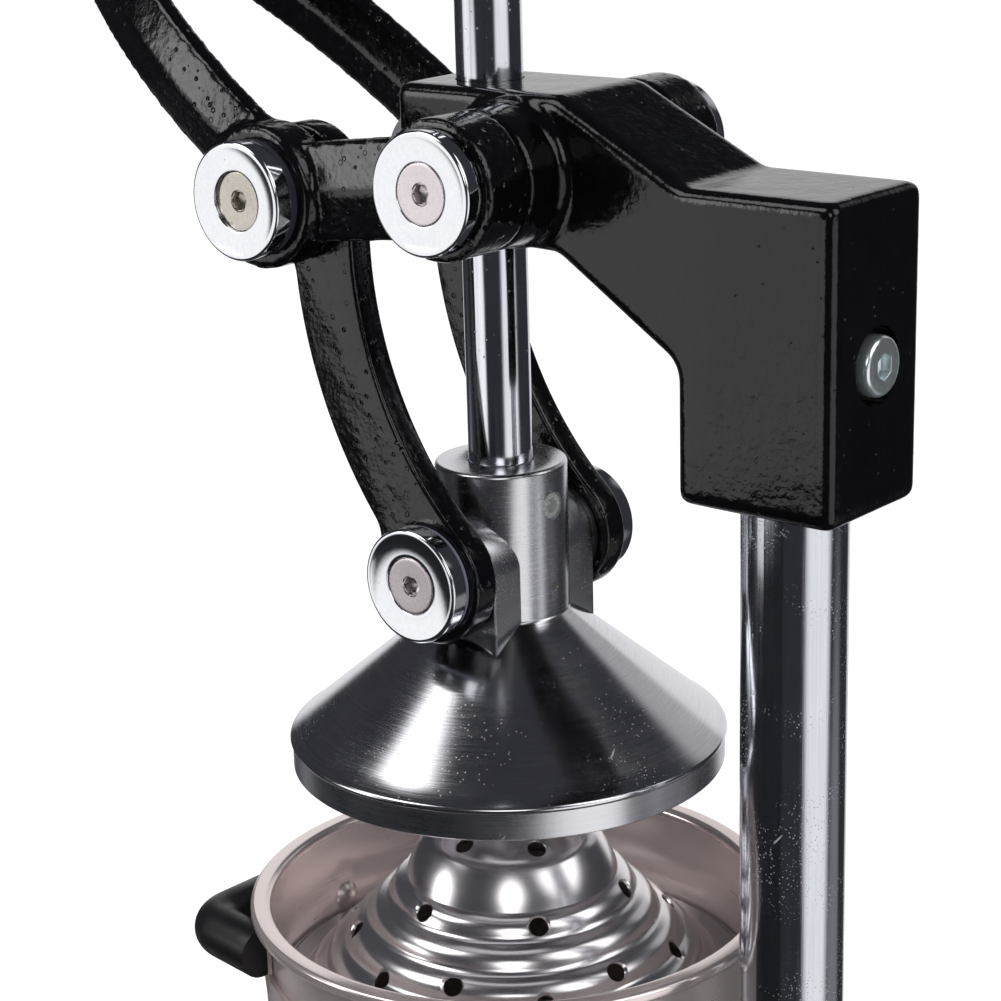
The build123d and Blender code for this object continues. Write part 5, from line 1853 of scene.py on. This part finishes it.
    def strainer_line(self, inset: float) -> list[Flat]:
        """Outline of one face of the strainer, from the crown to the flange.

        Args:
            inset: Distance inwards from the outer face.

        Returns:
            The points as (radius, z).
        """
        ledge = self.levels()[1] - self.ledge_below + self.mesh_sheet
        edge = ledge + self.flare[1] + self.bands * self.band[1]
        centre = edge - self.crown_fall(self.crown_edge)
        start, size = self.crown_edge - inset, self.crown_r - inset
        line = arc((0.0, centre), size, 90, math.degrees(math.acos(start / size)), 16)
        line[0] = (0.0, centre + size)
        radius, height = self.crown_edge + self.flare[0], edge - self.flare[1]
        line += bow(line[-1], (radius - inset, height), self.flare[2], 8)
        for i in range(self.bands):
            for share, rise in ((1 - self.groove[0], self.bulge), (self.groove[0], self.groove[1])):
                radius += share * self.band[0]
                height -= share * self.band[1]
                last = i == self.bands - 1 and rise < 0
                line += bow(line[-1], (radius - inset, height - (inset if last else 0.0)), rise, 7)
        flange = self.bowl_r - self.sheet - self.flange_gap
        r, z = line.pop()
        return line + [(r + out, z + up) for out, up in self.flange_root] + [(flange - self.flange_edge, z)]

    def hole_rows(self, crown: float) -> list[tuple[float, float, float, float]]:
        """Work out where the rows of holes lie.

        Args:
            crown: Height of the strainer's top.

        Returns:
            Radius, height, tilt in radians and first direction in degrees of each row.
        """
        centre = crown - self.crown_r
        edge = self.crown_edge + self.flare[0]
        edge_z = centre + self.crown_fall(self.crown_edge) - self.flare[1]
        run, fall = self.band
        rows = [(r, centre + self.crown_fall(r), math.asin(r / self.crown_r), p) for r, p in self.crown_rows]
        return rows + [(r, edge_z - (r - edge) * fall / run + self.row_lift, math.atan2(fall, run), p)
                       for r, p in self.step_rows]

    def strainer(self) -> Mesh:
        """Press a stepped dome and punch rows of holes, each with a pressed-in rim.

        Returns:
            The strainer.
        """
        outer, inner = self.strainer_line(0.0), self.strainer_line(self.mesh_sheet)
        flange = self.bowl_r - self.sheet - self.flange_gap
        half, ledge = self.mesh_sheet / 2, self.levels()[1] - self.ledge_below
        outline = outer + arc((flange - half, ledge + half), half, 90, -90, 6) + inner[::-1]
        piece = lathe("strainer_pressed", outline, at(0, 0, 0), steps=180)
        hole = self.hole_d / 2
        lip = [(hole + out, rise) for out, rise in self.hole_lip]
        reach = self.punch_reach
        punch = [(0.0, -reach), (hole, -reach), *lip, (lip[-1][0], reach), (0.0, reach)]
        tools = []
        for radius, height, tilt, first in self.hole_rows(outer[0][1]):
            for i in range(self.holes):
                tool = lathe("punch", punch, (0.0, 0.0, 0.0), steps=32)
                turn = Matrix.Rotation(math.radians(first + 360 / self.holes * i), 4, "Z")
                tool.matrix_world = (Matrix.Translation(at(0, 0, 0)) @ turn
                                     @ Matrix.Translation((radius * MM, 0, height * MM))
                                     @ Matrix.Rotation(tilt, 4, "Y"))
                tools.append(settle(tool, "punch"))
        bore(piece, *tools)
        return smooth(piece, 28.0)

    def handle(self) -> Mesh:
        """Bend a bar round the wall and trim its ends to follow it.

        Returns:
            The grip.
        """
        height = self.levels()[1] - self.grip_below
        spots = []
        for reach, spread in ((self.grip_end, -self.grip_spread), (self.grip_reach, 0.0),
                              (self.grip_end, self.grip_spread)):
            turn = math.radians(self.mid_deg + spread)
            spots.append(Vector(at((self.bowl_r + reach) * math.cos(turn),
                                   (self.bowl_r + reach) * math.sin(turn), height)))
        first, corner, last = spots
        ahead, after = (corner - first).normalized(), (last - corner).normalized()
        bend, spare = math.acos(ahead.dot(after)), self.grip_spare * MM
        trim = self.grip_bend * MM * math.tan(bend / 2)
        tail = first - ahead * spare
        length = (corner - ahead * trim - tail).length
        bar = rod("bowl_grip_bar", self.grip_d / 2, tail + ahead * length / 2, ahead, length / MM, 48)
        side = 1.0 if ahead.cross(after).z > 0 else -1.0
        inward = Vector((-ahead.y, ahead.x, 0.0)) * side
        hinge = corner - ahead * trim + inward * self.grip_bend * MM
        pick(bar, Element.FACE, lambda f: f.normal.dot(ahead) > FACING)
        bpy.ops.mesh.spin(steps=14, angle=-bend * side, center=hinge, axis=Axis.Z.line())
        extrude(after * ((last - corner).length - trim + spare))
        done()
        tidy_normals(bar)
        cut(bar, cylinder("wall", self.bowl_r + self.wall_clear, at(0, 0, height - self.grip_d),
                          2 * self.grip_d, Axis.Z, 256))
        soften(bar, self.grip_edge, 38.0, 3)
        return smooth(bar, 35.0)

    def build(self) -> None:
        """Build and dress the bowl set."""
        mount(self.bowl(), Body.BOWL, STAINLESS, "bowl")
        mount(self.strainer(), Body.BOWL, STRAINER_STEEL, "strainer")
        mount(self.handle(), Body.BOWL, PLASTIC, "bowl_grip")
        mount(self.strap(), Body.BOWL, STAINLESS, "bowl_strap")


# ---- base -----------------------------------------------------------------------------------
@dataclass
class Base:
    """Cast base with a bowl seat, a column socket and ribs below. Sizes in millimetres."""

    foot: float = 8.0
    seat: float = 30.0
    seat_rise: float = 1.5
    seat_r: float = 66.0
    seat_root: float = 2.0
    plate: float = 6.0
    skirt: float = 6.0
    edge: float = 4.0
    front_r: float = 96.0
    tail_half: float = 52.0
    tail_y: float = 138.0
    corner: float = 20.0
    rib: float = 5.0
    rib_lift: float = 3.0
    rib_inset: float = 3.0
    rear_rib_y: float = 62.0
    rear_rib_half: float = 71.0
    column_y: float = 97.5
    socket_d: float = 48.0
    socket_height: float = 34.0
    socket_floor: float = 5.0
    column_foot: float = 22.0
    column_bore: float = 28.1
    bolt_bore: float = 12.5
    washer_bore: float = 28.0
    front_foot: Flat = (76.0, 48.0)
    rear_foot: Flat = (34.0, 120.0)
    boss_r: float = 11.0
    boss_below: float = 1.0
    screw_bore: float = 5.1
    screw_reach: float = 9.0
    past: float = 2.0

    def plan(self, inset: float) -> list[Flat]:
        """Draw a round front that runs into a straight tail with rounded corners.

        Args:
            inset: Distance inwards from the skirt's face.

        Returns:
            The corners as (x, y).
        """
        front, half = self.front_r - inset, self.tail_half - inset
        tail, corner = self.tail_y - inset, self.corner - inset / 2
        meet = math.degrees(math.acos(half / front))
        right = arc((0.0, 0.0), front, -90, meet, 60)
        right += rounded((half, tail), corner, 0, 90, 10)
        return right + [(-x, y) for x, y in reversed(right[1:])]

    def feet(self) -> list[Flat]:
        """Place the four feet.

        Returns:
            Their centres, as (x, y).
        """
        reach, turn = self.front_foot[0], math.radians(self.front_foot[1])
        x, y = reach * math.sin(turn), -reach * math.cos(turn)
        rear_x, rear_y = self.rear_foot
        return [(x, y), (-x, y), (rear_x, rear_y), (-rear_x, rear_y)]

    def upright(self, name: str, radius: float, place: Flat, low: float, high: float,
                sides: int = 96) -> Mesh:
        """Add a vertical cylinder between two heights.

        Args:
            name: Name of the piece.
            radius: Its radius.
            place: Its axis, as (x, y).
            low: Its underside.
            high: Its top.
            sides: Number of sides.

        Returns:
            The new object.
        """
        return cylinder(name, radius, at(*place, low), high - low, Axis.Z, sides)

    def shell(self, top: float) -> Mesh:
        """Plate with its skirt, hollow from below.

        Args:
            top: Height of the plate's top.

        Returns:
            The shell, its upper edge rounded.
        """
        shell = prism("base_shell", self.plan(0.0), self.foot, top, Axis.Z)
        round_rims(shell, lambda f: f.normal.z > FACING, self.edge, 5)
        cut(shell, prism("tool", self.plan(self.skirt), self.foot - self.past, top - self.plate, Axis.Z))
        return shell

    def casting(self) -> Mesh:
        """Fuse the shell, ribs, bosses and socket, then machine the bores.

        Returns:
            The casting.
        """
        top, half = self.seat - self.seat_rise, self.rib / 2
        front, tail = self.front_r - self.rib_inset, self.tail_y - self.rib_inset
        low, high = self.foot + self.rib_lift, top - self.plate / 2
        rear, wide = self.rear_rib_y, self.rear_rib_half
        parts = [self.shell(top)]
        for (left, near), (right, far) in (((-half, -front), (half, tail)), ((-front, -half), (front, half)),
                                           ((-wide, rear - half), (wide, rear + half))):
            parts.append(block("rib", at(left, near, low), at(right, far, high)))
        column, pit = (0, self.column_y), self.column_foot - self.socket_floor
        parts += [self.upright("seat", self.seat_r, (0, 0), top - self.seat_root, self.seat, 128),
                  self.upright("socket", self.socket_d / 2, column, pit, top + self.socket_height)]
        parts += [self.upright("boss", self.boss_r, foot, self.foot, top - self.boss_below, 64)
                  for foot in self.feet()]
        piece = cast("base_casting_cast", parts, grain=1.4, passes=5)
        below, seat = self.foot - self.past, self.column_foot
        above = top + self.socket_height + self.past
        bore(piece, self.upright("bore", self.column_bore / 2, column, seat, above),
             *(self.upright("bore", self.screw_bore / 2, foot, below, self.foot + self.screw_reach, 32)
               for foot in self.feet()))
        bore(piece, self.upright("bore", self.bolt_bore / 2, column, below, seat + self.past, 48))
        bore(piece, self.upright("bore", self.washer_bore / 2, column, below, pit, 64))
        return smooth(piece, 40.0)

    def build(self) -> None:
        """Build and dress the base."""
        mount(self.casting(), Body.FRAME, PITTED_PAINT, "base_casting")
        dress("rubber_feet", RUBBER)
        dress("foot_screws", SOCKET_STEEL)


# ---- small parts ----------------------------------------------------------------------------
@dataclass
class SmallParts:
    """CAD nodes whose shape is kept and that only get a finish."""

    finishes: dict[str, Coating] = field(default_factory=lambda: {
        "column_bolt": SOCKET_STEEL, "column_washer": SOCKET_STEEL, "head_pivot_studs": SOCKET_STEEL,
        "crank_nylon_washers": NYLON, "crank_thrust_washers": DARK_STEEL, "crank_lock_nuts": SOCKET_STEEL,
        "press_pin": SOCKET_STEEL, "press_thrust_washers": DARK_STEEL, "press_pivot_bushes": BRONZE,
        "press_nylon_washers": NYLON_PALE, "bowl_rivets": STAINLESS,
    })

    def build(self) -> None:
        """Dress every node."""
        for node, finish in self.finishes.items():
            dress(node, finish)


# ---- studio ---------------------------------------------------------------------------------
@dataclass(frozen=True)
class Panel:
    """Soft bright region of the surroundings, seen in gloss alone. Angles in degrees."""

    turn: float
    rise: float
    core: float
    edge: float
    level: float

    def towards(self) -> Vector:
        """Unit vector towards the panel."""
        turn, rise = math.radians(self.turn), math.radians(self.rise)
        return Vector((math.cos(rise) * math.cos(turn), math.cos(rise) * math.sin(turn), math.sin(rise)))


@dataclass(frozen=True)
class Flag:
    """Black card that only gloss sees, facing a direction in degrees from +X towards +Y."""

    place: Point
    turn: float
    size: Flat


@dataclass(frozen=True)
class Lamp:
    """Square soft lamp that faces the press, its power in watts."""

    name: str
    place: Point
    size: float
    power: float


@dataclass
class Studio:
    """White surroundings, pale floor, soft lamps, black cards and the camera, in metres."""

    camera_at: Point = (0.51966, 0.51623, 0.43616)
    camera_yaw: float = 131.18
    camera_pitch: float = 17.57
    camera_roll: float = -1.89
    lens: float = 91.5
    sensor: float = 36.0
    nearest: float = 0.01
    shift: Flat = (0.035, 0.034)
    floor_size: float = 9.0
    floor_shade: float = 0.8
    fill: float = 0.62
    room: Point = (0.034, 0.035, 0.042)
    aim: Point = (0.0, 0.0, 0.22)
    panels: tuple[Panel, ...] = (
        Panel(-41.0, -5.0, 13.5, 17.5, 1.4),
        Panel(-42.0, 9.0, 5.0, 14.0, 4.5),
        Panel(-150.0, -3.0, 27.0, 36.0, 1.0),
        Panel(-136.0, 22.0, 7.0, 14.0, 1.1),
        Panel(38.0, 22.0, 8.0, 16.0, 2.6),
        Panel(-17.0, -18.0, 9.0, 17.0, 1.5),
        Panel(175.0, 22.0, 8.0, 16.0, 0.5),
        Panel(-39.0, 47.0, 12.0, 20.0, 3.4),
        Panel(103.0, 36.0, 19.0, 30.0, 2.3),
        Panel(85.0, -18.0, 18.0, 32.0, 1.3),
        Panel(135.0, -35.0, 12.0, 20.0, 0.25),
        Panel(-85.0, -35.0, 14.0, 24.0, 0.32),
    )
    flags: tuple[Flag, ...] = (
        Flag((0.165, -0.204, 0.0), -30.0, (0.38, 0.244)),
        Flag((0.3425, 0.1035, 0.0), -30.0, (0.33, 0.304)),
    )
    lamps: tuple[Lamp, ...] = (
        Lamp("lamp_key", (0.9, -1.2, 1.5), 1.1, 14.0),
        Lamp("lamp_fill", (0.6, 1.5, 1.0), 1.2, 6.0),
    )

    def surroundings(self) -> None:
        """Plain light for matt surfaces, panels for gloss, and white behind all."""
        world = bpy.data.worlds.new("studio")
        bpy.context.scene.world = world
        graph = Graph(world)
        direction = graph.add("ShaderNodeTexCoord").outputs["Generated"]
        total: Socket | float = 0.0
        for panel in self.panels:
            dot = graph.add("ShaderNodeVectorMath", operation="DOT_PRODUCT")
            graph.feed(dot.inputs[0], direction)
            graph.feed(dot.inputs[1], panel.towards())
            edge, core = math.cos(math.radians(panel.edge)), math.cos(math.radians(panel.core))
            glow = graph.remap(dot.outputs["Value"], edge, core, 0.0, panel.level, soft=True)
            total = graph.math("MAXIMUM", total, glow)
        room, lit, fill, white = (graph.add("ShaderNodeBackground") for _ in range(4))
        graph.feed(room.inputs[0], rgb(*self.room))
        graph.feed(lit.inputs[1], total)
        graph.feed(fill.inputs[1], self.fill)
        graph.feed(white.inputs[0], rgb(1.0, 1.0, 1.0))
        gloss = graph.add("ShaderNodeAddShader")
        graph.feed(gloss.inputs[0], room.outputs[0])
        graph.feed(gloss.inputs[1], lit.outputs[0])
        seen = graph.by_ray(fill.outputs[0], ("Is Glossy Ray", gloss.outputs[0]),
                            ("Is Camera Ray", white.outputs[0]))
        graph.feed(graph.add("ShaderNodeOutputWorld").inputs[0], seen)

    def floor(self) -> None:
        """Pale floor that keeps the shadow and that gloss looks through."""
        floor = primitive("floor", bpy.ops.mesh.primitive_plane_add, size=self.floor_size)
        graph = Graph(bpy.data.materials.new("floor_white"))
        matt, glow = graph.add("ShaderNodeBsdfDiffuse"), graph.add("ShaderNodeEmission")
        graph.feed(matt.inputs[0], rgb(self.floor_shade, self.floor_shade, self.floor_shade))
        graph.feed(glow.inputs[1], self.fill)
        seen, clear = graph.add("ShaderNodeAddShader"), graph.add("ShaderNodeBsdfTransparent")
        graph.feed(seen.inputs[0], matt.outputs[0])
        graph.feed(seen.inputs[1], glow.outputs[0])
        surface = graph.by_ray(matt.outputs[0], ("Is Camera Ray", seen.outputs[0]),
                               ("Is Glossy Ray", clear.outputs[0]))
        graph.feed(graph.add("ShaderNodeOutputMaterial").inputs["Surface"], surface)
        coat(floor, graph.owner)

    def stand(self, flag: Flag) -> None:
        """Stand a black card beside the press.

        Args:
            flag: The card.
        """
        card = primitive("card", bpy.ops.mesh.primitive_plane_add, size=1.0)
        facing = Euler((math.radians(90.0), 0.0, math.radians(flag.turn + 90.0))).to_matrix().to_4x4()
        card.matrix_world = Matrix.Translation(flag.place) @ facing @ Matrix.Diagonal((*flag.size, 1.0, 1.0))
        settle(card, "flag")
        graph = MaterialGraph("flag_black")
        graph.set("Base Color", rgb(*self.room))
        graph.set("Specular IOR Level", 0.0)
        graph.set("Roughness", 1.0)
        coat(card, graph.owner)
        for rays in ("camera", "diffuse", "transmission", "volume_scatter", "shadow"):
            setattr(card, "visible_" + rays, False)

    def light(self, lamp: Lamp) -> None:
        """Hang a lamp.

        Args:
            lamp: The lamp.
        """
        data = bpy.data.lights.new(lamp.name, "AREA")
        data.shape, data.size, data.energy = "SQUARE", lamp.size, lamp.power
        hung = bpy.data.objects.new(lamp.name, data)
        bpy.context.scene.collection.objects.link(hung)
        hung.location = lamp.place
        hung.rotation_euler = (Vector(self.aim) - Vector(lamp.place)).to_track_quat("-Z", "Y").to_euler()
        hung.visible_glossy = False

    def camera(self) -> None:
        """Set up the camera."""
        camera = bpy.data.objects.new("camera", bpy.data.cameras.new("camera"))
        bpy.context.scene.collection.objects.link(camera)
        aim = Euler((math.radians(90.0 - self.camera_pitch), 0.0, math.radians(self.camera_yaw))).to_matrix()
        turn = aim @ Matrix.Rotation(math.radians(self.camera_roll), 3, "Z")
        camera.location = self.camera_at
        camera.rotation_euler = turn.to_euler()
        camera.data.lens = self.lens
        camera.data.sensor_width = self.sensor
        camera.data.shift_x, camera.data.shift_y = self.shift
        camera.data.clip_start = self.nearest
        bpy.context.scene.camera = camera

    def build(self) -> None:
        """Set up the whole studio."""
        bpy.context.scene.view_settings.view_transform = "Standard"
        self.surroundings()
        self.floor()
        for flag in self.flags:
            self.stand(flag)
        for lamp in self.lamps:
            self.light(lamp)
        self.camera()


def main() -> None:
    """Build each sub-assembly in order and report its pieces."""
    logging.basicConfig(level=logging.INFO, format="%(message)s")
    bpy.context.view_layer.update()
    for assembly in (Head(), Lever(), Links(), Pivots(), Press(), BowlSet(), Base(), SmallParts(), Studio()):
        LOG.info("-- %s", type(assembly).__name__)
        assembly.build()


if __name__ == "__main__":
    main()
